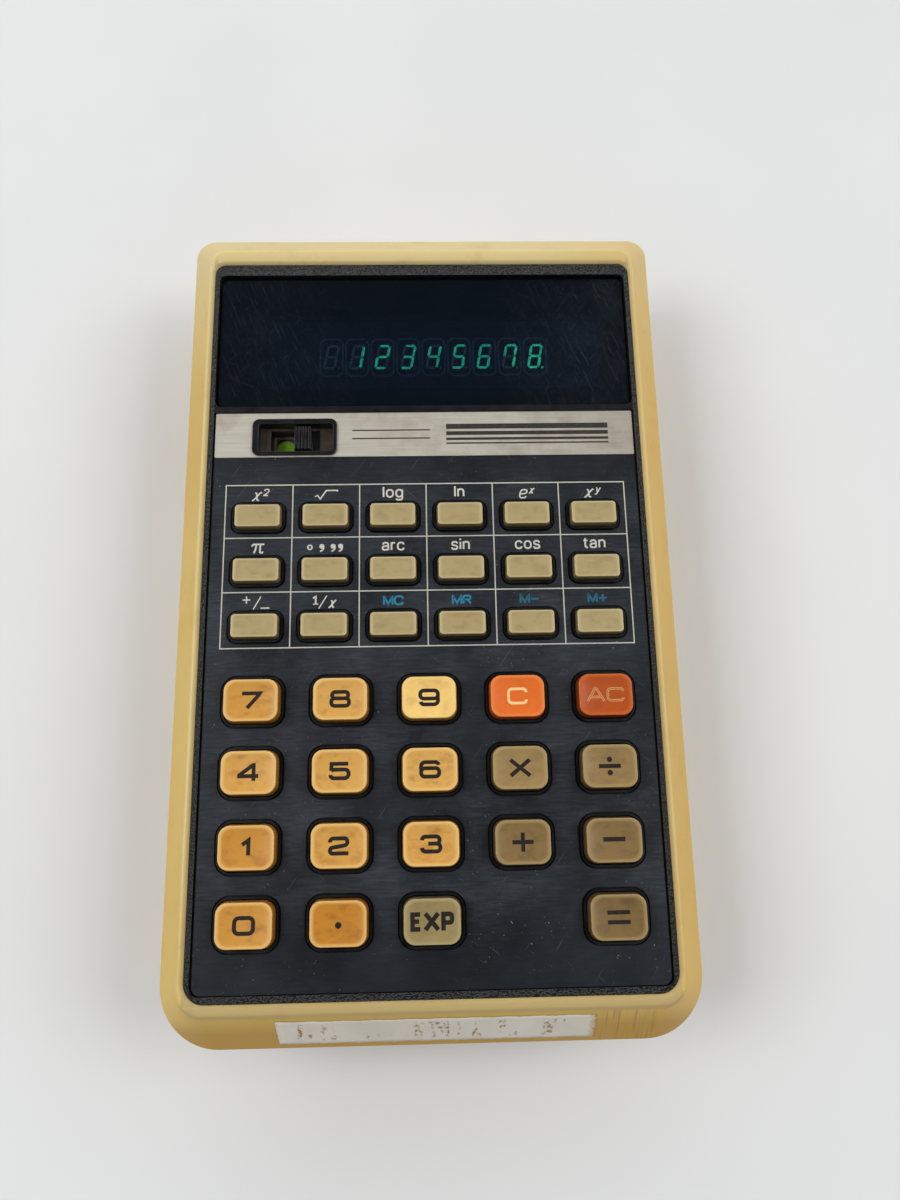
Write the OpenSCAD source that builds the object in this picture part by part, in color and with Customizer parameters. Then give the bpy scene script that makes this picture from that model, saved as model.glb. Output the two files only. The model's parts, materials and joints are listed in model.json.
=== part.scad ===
// Pocket scientific calculator with a two-shell case, a tube display behind a
// dark window, 37 keys, a slide switch and a sliding battery cover.
// It lies on its back: +Y points to the display end, +Z out of the keys, and
// the origin is the middle of the back. Every size is in millimetres.

/* [Case] */
// Width across the parting line
case_w = 83.3; // [83.3:0.1:90]
// Length across the parting line
case_l = 138.2; // [138.2:0.1:146]
// Height from the back to the crest of the face rim
case_h = 25; // [25:0.5:29]
// Width across the crest of the face rim
crest_w = 75.2; // [75.2:0.1:76]
// Length across the crest of the face rim
crest_l = 127.3; // [127.3:0.1:129]
// Radius of the lower corners on the parting line
low_corner_r = 9.5; // [8:0.5:11]
// Radius of the display end corners on the parting line
top_corner_r = 3.5; // [3.25:0.25:6]
// How far the back is narrower than the parting line, on each side
back_inset = 4; // [3.6:0.1:4.4]

/* [Face] */
// Width of the black bezel frame
bezel_w = 73.8; // [73.4:0.1:73.8]
// Lower edge of the bezel frame
bezel_y0 = -62; // [-62:0.02:-61.8]
// Upper edge of the bezel frame
bezel_y1 = 61; // [60.7:0.05:61]
// Width of the plates that lie in the bezel frame
plate_w = 71.6; // [71:0.1:71.8]
// Thickness of the key panel and the metal band
plate_t = 0.5; // [0.4:0.05:0.6]
// Lower edge of the key panel
panel_y0 = -60.85; // [-60.9:0.05:-60.5]
// Line where the key panel meets the metal band
band_y0 = 24.3; // [24.2:0.05:24.35]
// Upper edge of the metal band
band_y1 = 32.4; // [32:0.05:32.6]
// Lower edge of the display window
window_y0 = 34.0; // [34:0.05:34.4]
// Upper edge of the display window
window_y1 = 58.55; // [58:0.05:58.55]

/* [Number keys] */
// Spacing of the number keys across the case
num_pitch_x = 14; // [13.6:0.1:14]
// Spacing of the number keys along the case
num_pitch_y = 11.19; // [11:0.01:11.25]
// Centre line of the top row of number keys
num_y = -17.35; // [-17.5:0.05:-17.2]
// Width of a number key at the panel
num_w = 8.95; // [8.6:0.05:9]
// Length of a number key at the panel
num_l = 7.05; // [6.8:0.05:7.1]
// Height of a number key over the panel
num_rise = 2.2; // [1.8:0.1:2.4]

/* [Function keys] */
// Spacing of the function keys across the case
fun_pitch_x = 11.2; // [11:0.05:11.3]
// Spacing of the function keys along the case
fun_pitch_y = 9.31; // [9.2:0.01:9.35]
// Centre line of the top row of function keys
fun_y = 13.44; // [13.4:0.02:13.5]
// Width of a function key at the panel
fun_w = 7.85; // [7.5:0.05:7.9]
// Length of a function key at the panel
fun_l = 4.2; // [4:0.05:4.25]
// Height of a function key over the panel
fun_rise = 1.5; // [1.2:0.05:1.6]

/* [Key action] */
// Travel of a key when it is pressed
key_travel = 1.2; // [0.8:0.1:1.2]
// Gap between a key and the collar that guides it
key_gap = 0.15; // [0.1:0.01:0.2]

/* [Display] */
// Number of digits
digits = 9; // [6:1:9]
// Spacing of the digits
digit_pitch = 4.57; // [4.4:0.01:4.6]
// Centre of the first digit
digit_x0 = -16.27; // [-17:0.05:-16]
// Centre line of the digits
digit_y = 44.85; // [44:0.05:46]
// Length of the glass tube
tube_w = 58; // [50:0.5:58]
// Depth of the glass tube along the case
tube_l = 12; // [11:0.5:12]
// Centre of the glass tube across the case
tube_x = 2; // [1:0.5:2]

/* [Power switch] */
// Centre of the switch across the case
switch_x = -22.1; // [-22.2:0.05:-22]
// Centre of the switch along the case
switch_y = 27.8; // [27.7:0.05:27.9]
// Travel of the slider
switch_travel = 4.1; // [3.5:0.1:4.1]

/* [Power supply] */
// Length of a battery cell
cell_l = 50.5; // [49.5:0.1:50.5]
// Radius of a battery cell
cell_r = 7.1; // [6.8:0.1:7.1]
// Radius of the supply socket bore
jack_bore_r = 1.8; // [1.5:0.05:1.8]
// Depth of the supply socket bore
jack_depth = 9; // [6:0.5:9]

/* [Hidden] */
$fn = 48;
eps = 0.01;

CREAM = "#d5c38a";
BLACK = "#1b1c1f";
PANEL = "#25292f";
METAL = "#b5aa98";
AMBER = "#d9a452";
OCHRE = "#917b4e";
SAND = "#a8946c";
ORANGE = "#e2601f";
RED = "#d04a12";

// Heights, worked down from the face
face_z = case_h - 0.8;
floor_z1 = face_z - plate_t;
floor_z0 = floor_z1 - 1.6;
frame_z0 = floor_z0 - 1.5;
parting_z = case_h - 5.8;
cavity_z1 = frame_z0 + 1.1;
rim_z = case_h - 0.5;
rim_inner_w = plate_w + 0.6;
flange_z1 = floor_z0 - 0.05;
flange_z0 = flange_z1 - 0.85;
mat_t = 0.5;
board_z1 = flange_z0 - key_travel - mat_t - 0.5;
board_z0 = board_z1 - 1.6;
main_z0 = 13.4;
main_z1 = main_z0 + 1.6;

face_y = (bezel_y0 + bezel_y1) / 2;
face_hl = (bezel_y1 - bezel_y0) / 2;
window_z1 = floor_z0 + 1.5;

// Key columns and rows
function num_x(c) = (c - 2) * num_pitch_x;
function num_row(r) = num_y - r * num_pitch_y;
function fun_x(c) = (c - 2.5) * fun_pitch_x;
function fun_row(r) = fun_y - r * fun_pitch_y;

// Collars that stand up through the panel
collar_t = 0.32;
collar_rise = 0.3;
groove = 0.26;
num_key_r = 1.9;
fun_key_r = 1.0;

// Screws and posts
screw_x = 33.2;
screw_ys = [-58.6, 56.5];
boss_r = 3;
boss_z0 = 12.1;
pillar_r = 3.6;
post_r = 2;
key_posts = [[-33.2, -18], [33.2, -18], [-33.2, 14], [33.2, 14]];
main_posts = [[-32, 30], [32, 30], [-20, 57.5], [12, 57.5]];

// Battery box and its cover
floor_t = 2.2;
cell_z = 9;
cell_ys = [-55.2, -40];
box_hw = 27.6;
box_y0 = -62.8;
box_y1 = -32.2;
box_z1 = 16.3;
door_hw = 26.8;
door_y1 = box_y1 + 0.1;
door_t = 1.7;
plate_x = box_hw - 0.5;

// Supply socket
jack_x = 25;
jack_z = 10;
jack_y1 = 67.6;

// Display tube
anode_z1 = floor_z0 - 2.3;
anode_z0 = anode_z1 - 1.4;
tube_z1 = floor_z0 - 0.3;

// Switch
opening_w = 12.65;
opening_l = 5;
slot_w = 8.5;
slot_x = switch_x - 0.35;
slot_l = 4.26;
knob_w = slot_w - switch_travel - 1.5;
knob_l = slot_l - 0.12;
switch_top = floor_z0 + 0.3;
knob_x = slot_x + 0.03 + knob_w / 2;

// Battery cover profile at its outer end
chamfer_z = 2.6;
chamfer_y = 1.7;
back_hl = case_l / 2 - back_inset;

// Rounded rectangle, centred, from half sizes and one corner radius
module pad(hw, hl, r) {
    square([2 * (hw - r), 2 * hl], center = true);
    square([2 * hw, 2 * (hl - r)], center = true);
    for (x = [-1, 1], y = [-1, 1])
        translate([x * (hw - r), y * (hl - r)])
            circle(r);
}

// Outline with one radius at the key end and another at the display end
module outline(hw, hl, low_r, top_r) {
    polygon([
        [-hw + low_r, -hl], [hw - low_r, -hl], [hw, -hl + low_r], [hw, hl - top_r],
        [hw - top_r, hl], [-hw + top_r, hl], [-hw, hl - top_r], [-hw, -hl + low_r],
    ]);
    for (x = [-1, 1]) {
        translate([x * (hw - low_r), -hl + low_r])
            circle(low_r);
        translate([x * (hw - top_r), hl - top_r])
            circle(top_r);
    }
}

module slab(z0, z1) {
    translate([0, 0, z0])
        linear_extrude(z1 - z0)
            children();
}

// Box from its two opposite corners
module span(a, b) {
    translate(a)
        cube(b - a);
}

module parting_outline(inset = 0) {
    outline(case_w / 2 - inset, case_l / 2 - inset,
        low_corner_r - inset * 0.8, top_corner_r - inset * 0.6);
}

module cavity_outline() {
    outline(case_w / 2 - 3.25, case_l / 2 - 3.9, 5.2, 2.2);
}

module face_outline(grow = 0) {
    translate([0, face_y])
        outline(bezel_w / 2 + grow, face_hl + grow, 3.1 + grow, 1.9 + grow);
}

// --- Case ---

module upper_case() {
    color(CREAM)
        difference() {
            union() {
                hull() {
                    slab(parting_z, parting_z + 0.5)
                        parting_outline();
                    slab(case_h - 0.6, case_h - 0.5)
                        outline(crest_w / 2 + 0.5, crest_l / 2 + 0.55, 4, 2.9);
                    slab(case_h - eps, case_h)
                        outline(crest_w / 2 + 0.1, crest_l / 2 - 0.15, 3.7, 2.6);
                }
                slab(parting_z - 1.5, parting_z + eps)
                    parting_outline(2.2);
            }
            slab(parting_z - 2, cavity_z1)
                cavity_outline();
            slab(parting_z, case_h + 1)
                face_outline(0.06);
            // bevel that leads down to the bezel frame
            hull() {
                slab(rim_z, rim_z + eps)
                    face_outline(0.06);
                slab(case_h, case_h + eps)
                    face_outline(0.6);
            }
        }
}

module lower_shell() {
    difference() {
        hull() {
            slab(parting_z - 0.5, parting_z)
                parting_outline();
            slab(chamfer_z, chamfer_z + eps)
                outline(case_w / 2 - 2.2, back_hl + chamfer_y, 8.6, top_corner_r - 0.2);
            slab(0, eps)
                outline(case_w / 2 - back_inset, back_hl, 8, top_corner_r - 0.4);
        }
        hull() {
            slab(parting_z - 1.6, parting_z - 1.6 + eps)
                outline(case_w / 2 - 3, case_l / 2 - 3.2, 6.6, 2.6);
            slab(floor_t, floor_t + eps)
                outline(case_w / 2 - 4.4, back_hl - 0.7, 6.4, 2.6);
        }
        slab(parting_z - 1.6 - eps, parting_z + 1)
            parting_outline(2.1);
    }
}

module battery_box() {
    difference() {
        span([-box_hw - 1.5, box_y0 - 1.2, 1.9], [box_hw + 1.5, box_y1 + 1.2, box_z1 + 0.8]);
        span([-box_hw, box_y0, 0], [box_hw, box_y1, box_z1]);
    }
}

module lower_case() {
    color(CREAM)
        difference() {
            union() {
                lower_shell();
                battery_box();
                for (x = [-1, 1], y = screw_ys)
                    translate([x * screw_x, y, 0.5])
                        cylinder(r = pillar_r, h = boss_z0 - 0.6);
                for (p = key_posts)
                    translate([p.x, p.y, 1])
                        cylinder(r = post_r, h = board_z0 - 1.02);
                for (p = main_posts)
                    translate([p.x, p.y, 1])
                        cylinder(r = post_r, h = main_z0 - 1.02);
            }
            // screw holes from the back
            for (x = [-1, 1], y = screw_ys)
                translate([x * screw_x, y, -1]) {
                    cylinder(r = 1.45, h = boss_z0 + 2);
                    cylinder(r = 2.8, h = 4);
                }
            // battery opening, its side grooves and the slot for the cover's tongue
            span([-door_hw - 0.1, -case_l, -1], [door_hw + 0.1, box_y1 + 0.2, door_t + 0.12]);
            span([-door_hw - 0.1, box_y0, 0], [door_hw + 0.1, box_y1, floor_t + 0.3]);
            span([-door_hw - 1.7, -case_l, 0.7], [door_hw + 1.7, box_y1 + 0.2, 1.6]);
            span([-10.2, box_y1, 0.7], [10.2, box_y1 + 1.4, 1.6]);
            // recess for the rating label
            slab(-1, 0.4)
                translate([0, 4])
                    pad(24, 13, 1.5);
            // hole for the supply socket
            translate([jack_x, 62, jack_z])
                rotate([-90, 0, 0])
                    cylinder(r = 3.3, h = 10);
        }
}

module case_screws() {
    color("silver")
        for (x = [-1, 1], y = screw_ys)
            translate([x * screw_x, y, 0])
                difference() {
                    union() {
                        translate([0, 0, 1.2])
                            cylinder(r = 2.55, h = 1.75);
                        cylinder_from(2.9, boss_z0 + 5, 1.25);
                    }
                    for (a = [0, 90])
                        rotate([0, 0, a])
                            span([-1.6, -0.3, 1], [1.6, 0.3, 2.1]);
                }
}

module cylinder_from(z0, z1, r) {
    translate([0, 0, z0])
        cylinder(r = r, h = z1 - z0);
}

// Thin labels: the worn one on the front slope, and the rating label on the back
module adhesive_labels() {
    run = crest_l / 2 + 0.55 - case_l / 2;
    rise = case_h - 0.5 - parting_z - 0.5;
    slope = atan2(rise, -run);
    reach = sqrt(run * run + rise * rise);
    color("#e6e1d2") {
        translate([0, -case_l / 2, parting_z + 0.5])
            rotate([slope, 0, 0])
                span([-23.9, reach * 0.12, 0.03], [24.9, reach * 0.88, 0.15]);
        slab(0.15, 0.39)
            translate([0, 4])
                pad(23.8, 12.8, 1.4);
    }
}

// --- Face ---

module key_sites(grow_num, grow_fun) {
    for (c = [0:4], r = [0:3])
        if (!(r == 3 && c == 3))
            translate([num_x(c), num_row(r)])
                pad(num_w / 2 + grow_num, num_l / 2 + grow_num, num_key_r + grow_num);
    for (c = [0:5], r = [0:2])
        translate([fun_x(c), fun_row(r)])
            pad(fun_w / 2 + grow_fun, fun_l / 2 + grow_fun, fun_key_r + grow_fun);
}

module bezel_frame() {
    color(BLACK)
        difference() {
            union() {
                difference() {
                    union() {
                        slab(frame_z0, rim_z)
                            face_outline();
                        slab(frame_z0, frame_z0 + 1)
                            face_outline(1.3);
                    }
                    // panel recess and window recess
                    slab(floor_z1, case_h + 1)
                        translate([0, (panel_y0 + band_y1) / 2])
                            outline(rim_inner_w / 2, (band_y1 - panel_y0) / 2 + 0.1, 1.4, 0.3);
                    slab(floor_z0, case_h + 1)
                        translate([0, (window_y0 + window_y1) / 2])
                            pad(rim_inner_w / 2, (window_y1 - window_y0) / 2 + 0.4, 1.2);
                    // the bar between them is lower than the rim
                    span([-rim_inner_w / 2, band_y1, face_z + 0.15],
                        [rim_inner_w / 2, window_y0, case_h + 1]);
                    // hollow under the key floor
                    slab(frame_z0 - 1, floor_z0)
                        translate([0, (panel_y0 + window_y0) / 2])
                            pad(34.6, (window_y0 - panel_y0) / 2 - 1, 1);
                }
                for (x = [-1, 1], y = screw_ys)
                    translate([x * screw_x, y, 0])
                        cylinder_from(boss_z0, floor_z0 + (y > 0 ? -0.2 : eps), boss_r);
                slab(floor_z0, face_z + collar_rise)
                    key_sites(key_gap + collar_t, key_gap + collar_t);
            }
            slab(frame_z0 - 1, case_h + 1)
                key_sites(key_gap, key_gap);
            // light opening over the tube
            slab(frame_z0 - 1, case_h)
                translate([tube_x - 0.5, digit_y])
                    pad(tube_w / 2 + 2.5, 7.2, 1);
            // hole for the switch
            slab(frame_z0 - 1, case_h)
                translate([switch_x, switch_y])
                    pad(7, 3.2, 0.6);
            for (x = [-1, 1], y = screw_ys)
                translate([x * screw_x, y, 0])
                    cylinder_from(boss_z0 - 1, boss_z0 + 6.5, 1.3);
        }
}

module key_panel() {
    color(PANEL)
        slab(floor_z1, face_z)
            difference() {
                translate([0, (panel_y0 + band_y0) / 2])
                    outline(plate_w / 2, (band_y0 - panel_y0) / 2 - 0.02, 1.3, 0.2);
                key_sites(key_gap + collar_t + groove, key_gap + collar_t + groove);
            }
}

module trim_band() {
    color(METAL)
        slab(floor_z1, face_z)
            difference() {
                translate([0, (band_y0 + band_y1) / 2])
                    outline(plate_w / 2, (band_y1 - band_y0) / 2 - 0.02, 0.2, 0.2);
                translate([switch_x, switch_y])
                    pad(6.85, 3.05, 0.6);
            }
}

module display_window() {
    color("#101722")
        slab(floor_z0, window_z1)
            translate([0, (window_y0 + window_y1) / 2])
                pad(plate_w / 2, (window_y1 - window_y0) / 2, 1.1);
}

// --- Display ---

module display_tube() {
    color("#b9d0cc")
        difference() {
            slab(anode_z1, tube_z1)
                translate([tube_x, digit_y])
                    pad(tube_w / 2, tube_l / 2, 1.5);
            slab(anode_z1 - 1, tube_z1 - 0.8)
                translate([tube_x, digit_y])
                    pad(tube_w / 2 - 1, tube_l / 2 - 1, 0.8);
        }
}

module display_anodes() {
    color("#3a4a48") {
        slab(anode_z0, anode_z1 - 0.02)
            translate([tube_x, digit_y])
                pad(tube_w / 2, tube_l / 2, 1.5);
        for (i = [0:digits - 1])
            slab(anode_z1 - 0.03, anode_z1 + 0.1)
                translate([digit_x0 + i * digit_pitch, digit_y])
                    pad(2.1, 3.7, 0.6);
    }
}

module display_supports() {
    color("#5a4636")
        for (x = [tube_x - tube_w / 2 + 5, tube_x + tube_w / 2 - 7])
            difference() {
                span([x, digit_y - tube_l / 2 - 1, main_z1],
                    [x + 2.5, digit_y + tube_l / 2 + 1, anode_z1 - 0.2]);
                span([x - 1, digit_y - tube_l / 2 - 0.03, anode_z0 - 0.02],
                    [x + 4, digit_y + tube_l / 2 + 0.03, anode_z1 + 1]);
            }
}

// --- Power switch ---

module switch_surround() {
    color(BLACK)
        difference() {
            union() {
                slab(face_z + 0.02, face_z + 0.35)
                    translate([switch_x - 0.2, switch_y + 0.1])
                        pad(7.2, 3.35, 1.2);
                slab(switch_top, face_z + 0.03)
                    translate([switch_x, switch_y])
                        pad(6.75, 2.95, 0.5);
            }
            slab(switch_top - 1, face_z + 1)
                translate([switch_x, switch_y])
                    pad(opening_w / 2, opening_l / 2, 0.4);
        }
}

module switch_base() {
    color("#54493f")
        difference() {
            span([switch_x - 6.8, switch_y - 3, switch_top - 3.8],
                [switch_x + 6.8, switch_y + 3, switch_top - 0.02]);
            span([switch_x - 6.1, switch_y - 2.4, switch_top - 3.2],
                [switch_x + 6.1, switch_y + 2.4, switch_top - 0.6]);
            span([slot_x - slot_w / 2, switch_y - slot_l / 2, switch_top - 1],
                [slot_x + slot_w / 2, switch_y + slot_l / 2, switch_top + 1]);
        }
}

module power_slider() {
    rib = knob_w / 5;
    color("#222222") {
        span([knob_x - knob_w / 2, switch_y - 2.3, switch_top - 3.15],
            [slot_x + slot_w / 2 + 0.2, switch_y + 2.3, switch_top - 0.65]);
        // low step beside the knob
        span([knob_x, switch_y - knob_l / 2, switch_top - 0.66],
            [slot_x + slot_w / 2 - 0.05, switch_y + knob_l / 2, switch_top - 0.1]);
        span([knob_x - knob_w / 2, switch_y - knob_l / 2, switch_top - 0.66],
            [knob_x + knob_w / 2, switch_y + knob_l / 2, switch_top + 1.6]);
        for (i = [0:4])
            span([knob_x - knob_w / 2 + (i + 0.2) * rib, switch_y - knob_l / 2, switch_top + 1.5],
                [knob_x - knob_w / 2 + (i + 0.8) * rib, switch_y + knob_l / 2, switch_top + 2.05]);
    }
}

// --- Electronics ---

module main_board() {
    color("#3c5a34") {
        difference() {
            span([-36, 22, main_z0], [36, 61, main_z1]);
            for (x = [-1, 1])
                translate([x * screw_x, screw_ys[1], 0])
                    cylinder_from(main_z0 - 1, main_z1 + 1, boss_r + 0.8);
        }
        // links up to the key board
        for (i = [-12:12])
            translate([i * 2.2, 23, 0])
                cylinder_from(main_z1 - eps, board_z0 - 0.05, 0.35);
    }
}

module key_board() {
    color("#8a5a2c")
        difference() {
            span([-37, -60.5, board_z0], [37, 24.2, board_z1]);
            // corners cut away for the screw bosses
            for (x = [-1, 1])
                translate([x * (screw_x + 2), screw_ys[0] - 1, 0])
                    slab(board_z0 - 1, board_z1 + 1)
                        pad(6, 5.6, 2);
        }
}

module dome(x, y, r) {
    translate([x, y, board_z1 + mat_t - eps])
        cylinder(r1 = r, r2 = r * 0.7, h = flange_z0 - board_z1 - mat_t - 0.05);
}

module dome_hollow(x, y, r) {
    translate([x, y, board_z1 - eps])
        cylinder(r1 = r * 0.8, r2 = r * 0.5, h = flange_z0 - board_z1 - 0.6);
}

module contact_mat() {
    color("#3d3f42")
        difference() {
            union() {
                span([-35, -59, board_z1], [35, 21.5, board_z1 + mat_t]);
                for (c = [0:4], r = [0:3])
                    if (!(r == 3 && c == 3))
                        dome(num_x(c), num_row(r), 2.6);
                for (c = [0:5], r = [0:2])
                    dome(fun_x(c), fun_row(r), 2);
            }
            for (c = [0:4], r = [0:3])
                if (!(r == 3 && c == 3))
                    dome_hollow(num_x(c), num_row(r), 2.6);
            for (c = [0:5], r = [0:2])
                dome_hollow(fun_x(c), fun_row(r), 2);
            for (x = [-1, 1])
                translate([x * screw_x, screw_ys[0], 0])
                    cylinder_from(board_z1 - 1, board_z1 + 2, boss_r + 0.6);
        }
}

// Chip body with its two rows of legs, centred at a point on the main board
module chip(x, y, hw, hl, legs) {
    translate([x, y, main_z1]) {
        span([-hw, -hl, 0.4], [hw, hl, 3.2]);
        for (i = [0:legs - 1], s = [-1, 1])
            translate([(i - (legs - 1) / 2) * 2.54, s * (hl + 0.3), 0])
                span([-0.25, -0.31, 0], [0.25, 0.31, 2]);
    }
}

module logic_chips() {
    color("#26262a") {
        chip(8, 30.5, 18, 3.6, 14);
        chip(-24, 34.6, 5, 2.2, 4);
    }
}

module converter_parts() {
    color("#7c5a2a") {
        // pot core of the supply transformer
        translate([-20, 46, 0]) {
            cylinder_from(5.6, main_z0 - 0.02, 5.2);
            cylinder_from(4.8, 5.7, 7);
            cylinder_from(main_z0 - 1, main_z0 - 0.03, 7);
        }
        // capacitors lying under the board
        for (x = [-4, 5])
            translate([x, 40, main_z0 - 3.55])
                rotate([-90, 0, 0])
                    cylinder(r = 3.5, h = 13);
        translate([17, 34, main_z0 - 2.55])
            rotate([0, 90, 0])
                cylinder(r = 2.5, h = 9);
    }
}

// --- Power supply ---

module cell(y, dir) {
    translate([0, y, cell_z])
        rotate([0, dir * 90, 0]) {
            translate([0, 0, -cell_l / 2])
                cylinder(r = cell_r, h = cell_l - 1.4);
            translate([0, 0, cell_l / 2 - 1.5])
                cylinder(r = 2.75, h = 1.5);
        }
}

module aa_cells() {
    color("#8f8468") {
        cell(cell_ys[0], 1);
        cell(cell_ys[1], -1);
    }
}

// Conical spring against the flat end of a cell, coils narrowing to the cell
module cell_spring(y, dir) {
    gap = plate_x - cell_l / 2 - 0.03;
    translate([0, y, cell_z])
        rotate([0, dir * 90, 0])
            for (i = [0:3])
                translate([0, 0, plate_x - 0.2 - i * (gap - 0.62) / 3])
                    rotate_extrude()
                        translate([4 - i * 0.5, 0])
                            circle(0.36);
}

module battery_contacts() {
    y_mid = (cell_ys[0] + cell_ys[1]) / 2;
    color("#c9c3b4") {
        for (y = cell_ys)
            span([-plate_x - 0.45, y - 5, 3.5], [-plate_x, y + 5, 14.5]);
        span([plate_x, cell_ys[0] - 5, 3.5], [plate_x + 0.45, cell_ys[1] + 5, 14.5]);
        cell_spring(cell_ys[0], -1);
        cell_spring(cell_ys[1], 1);
        // raised pads against the button ends
        translate([plate_x - 1.75, cell_ys[0], cell_z])
            rotate([0, 90, 0])
                cylinder(r1 = 1.6, r2 = 2.4, h = 1.8);
        translate([-plate_x + 1.75, cell_ys[1], cell_z])
            rotate([0, -90, 0])
                cylinder(r1 = 1.6, r2 = 2.4, h = 1.8);
    }
}

module battery_door() {
    low_y = -back_hl;
    color(CREAM) {
        difference() {
            translate([-door_hw, 0, 0])
                rotate([90, 0, 90])
                    linear_extrude(2 * door_hw)
                        polygon([
                            [low_y, 0], [door_y1, 0], [door_y1, door_t],
                            [low_y - chamfer_y * door_t / chamfer_z, door_t],
                        ]);
            // finger grooves
            for (i = [0:4])
                span([-8, low_y + 3 + i * 1.6, -1], [8, low_y + 3.8 + i * 1.6, 0.4]);
        }
        span([-door_hw - 1.5, low_y + 1.5, 0.8], [door_hw + 1.5, door_y1, 1.5]);
        span([-10, door_y1 - 1, 0.8], [10, door_y1 + 1.1, 1.5]);
    }
}

module dc_jack() {
    color("#2a2a2c")
        translate([jack_x, jack_y1, jack_z])
            rotate([90, 0, 0])
                difference() {
                    union() {
                        cylinder(r = 3.2, h = jack_depth + 1);
                        cylinder_from(3, 4, 4.3);
                    }
                    cylinder_from(-1, jack_depth, jack_bore_r);
                }
}

// --- Keys ---

// One key: a drafted and chamfered cap over a flange that holds it in the frame.
// Its sides lean in by draft, and edge is the chamfer round its top.
module key(x, y, w, l, r, rise, flange_w, flange_l, draft, edge) {
    top = face_z + rise;
    translate([x, y, 0]) {
        intersection() {
            slab(flange_z1 - 0.4, top)
                pad(w / 2, l / 2, r);
            rotate([90, 0, 0])
                translate([0, 0, -l])
                    linear_extrude(2 * l)
                        cap_profile(w / 2, top, draft, edge);
            rotate([90, 0, 90])
                translate([0, 0, -w])
                    linear_extrude(2 * w)
                        cap_profile(l / 2, top, draft, edge);
        }
        slab(flange_z0, flange_z1)
            pad(flange_w / 2, flange_l / 2, r);
    }
}

module cap_profile(hw, top, draft, edge) {
    polygon([
        [-hw, flange_z0], [hw, flange_z0], [hw, face_z], [hw - draft, top - edge],
        [hw - draft - edge, top], [-hw + draft + edge, top], [-hw + draft, top - edge], [-hw, face_z],
    ]);
}

module num_key(c, r) {
    key(num_x(c), num_row(r), num_w, num_l, num_key_r, num_rise, num_w + 1.65, num_l + 1.65, 0.14, 0.2);
}

module fun_key(c, r) {
    key(fun_x(c), fun_row(r), fun_w, fun_l, fun_key_r, fun_rise, fun_w + 1.35, fun_l + 1.4, 0.16, 0.14);
}

module key_7() { color(AMBER) num_key(0, 0); }
module key_8() { color(AMBER) num_key(1, 0); }
module key_9() { color(AMBER) num_key(2, 0); }
module key_clear() { color(ORANGE) num_key(3, 0); }
module key_all_clear() { color(RED) num_key(4, 0); }
module key_4() { color(AMBER) num_key(0, 1); }
module key_5() { color(AMBER) num_key(1, 1); }
module key_6() { color(AMBER) num_key(2, 1); }
module key_multiply() { color(OCHRE) num_key(3, 1); }
module key_divide() { color(OCHRE) num_key(4, 1); }
module key_1() { color(AMBER) num_key(0, 2); }
module key_2() { color(AMBER) num_key(1, 2); }
module key_3() { color(AMBER) num_key(2, 2); }
module key_plus() { color(OCHRE) num_key(3, 2); }
module key_minus() { color(OCHRE) num_key(4, 2); }
module key_0() { color(AMBER) num_key(0, 3); }
module key_point() { color(AMBER) num_key(1, 3); }
module key_exponent() { color(SAND) num_key(2, 3); }
module key_equals() { color(OCHRE) num_key(4, 3); }

module key_square() { color(SAND) fun_key(0, 0); }
module key_root() { color(SAND) fun_key(1, 0); }
module key_log() { color(SAND) fun_key(2, 0); }
module key_ln() { color(SAND) fun_key(3, 0); }
module key_exp_e() { color(SAND) fun_key(4, 0); }
module key_power() { color(SAND) fun_key(5, 0); }
module key_pi() { color(SAND) fun_key(0, 1); }
module key_degrees() { color(SAND) fun_key(1, 1); }
module key_arc() { color(SAND) fun_key(2, 1); }
module key_sin() { color(SAND) fun_key(3, 1); }
module key_cos() { color(SAND) fun_key(4, 1); }
module key_tan() { color(SAND) fun_key(5, 1); }
module key_sign() { color(SAND) fun_key(0, 2); }
module key_reciprocal() { color(SAND) fun_key(1, 2); }
module key_memory_clear() { color(SAND) fun_key(2, 2); }
module key_memory_recall() { color(SAND) fun_key(3, 2); }
module key_memory_minus() { color(SAND) fun_key(4, 2); }
module key_memory_plus() { color(SAND) fun_key(5, 2); }

upper_case();
lower_case();
bezel_frame();
key_panel();
trim_band();
display_window();
display_tube();
display_anodes();
display_supports();
switch_surround();
switch_base();
power_slider();
main_board();
key_board();
contact_mat();
logic_chips();
converter_parts();
aa_cells();
battery_contacts();
battery_door();
case_screws();
dc_jack();
adhesive_labels();
key_7();
key_8();
key_9();
key_clear();
key_all_clear();
key_4();
key_5();
key_6();
key_multiply();
key_divide();
key_1();
key_2();
key_3();
key_plus();
key_minus();
key_0();
key_point();
key_exponent();
key_equals();
key_square();
key_root();
key_log();
key_ln();
key_exp_e();
key_power();
key_pi();
key_degrees();
key_arc();
key_sin();
key_cos();
key_tan();
key_sign();
key_reciprocal();
key_memory_clear();
key_memory_recall();
key_memory_minus();
key_memory_plus();
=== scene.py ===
"""Looks of the pocket calculator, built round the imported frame.

Fine shells, dished keys with their legends, a lit display and worn materials. Lengths are in
millimetres in the row frame, except where MM turns them into Blender's metres.
"""

import json
from math import atan2, cos, hypot, pi, radians, sin, sqrt, tan

import bpy
from mathutils import Matrix, Vector


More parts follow.
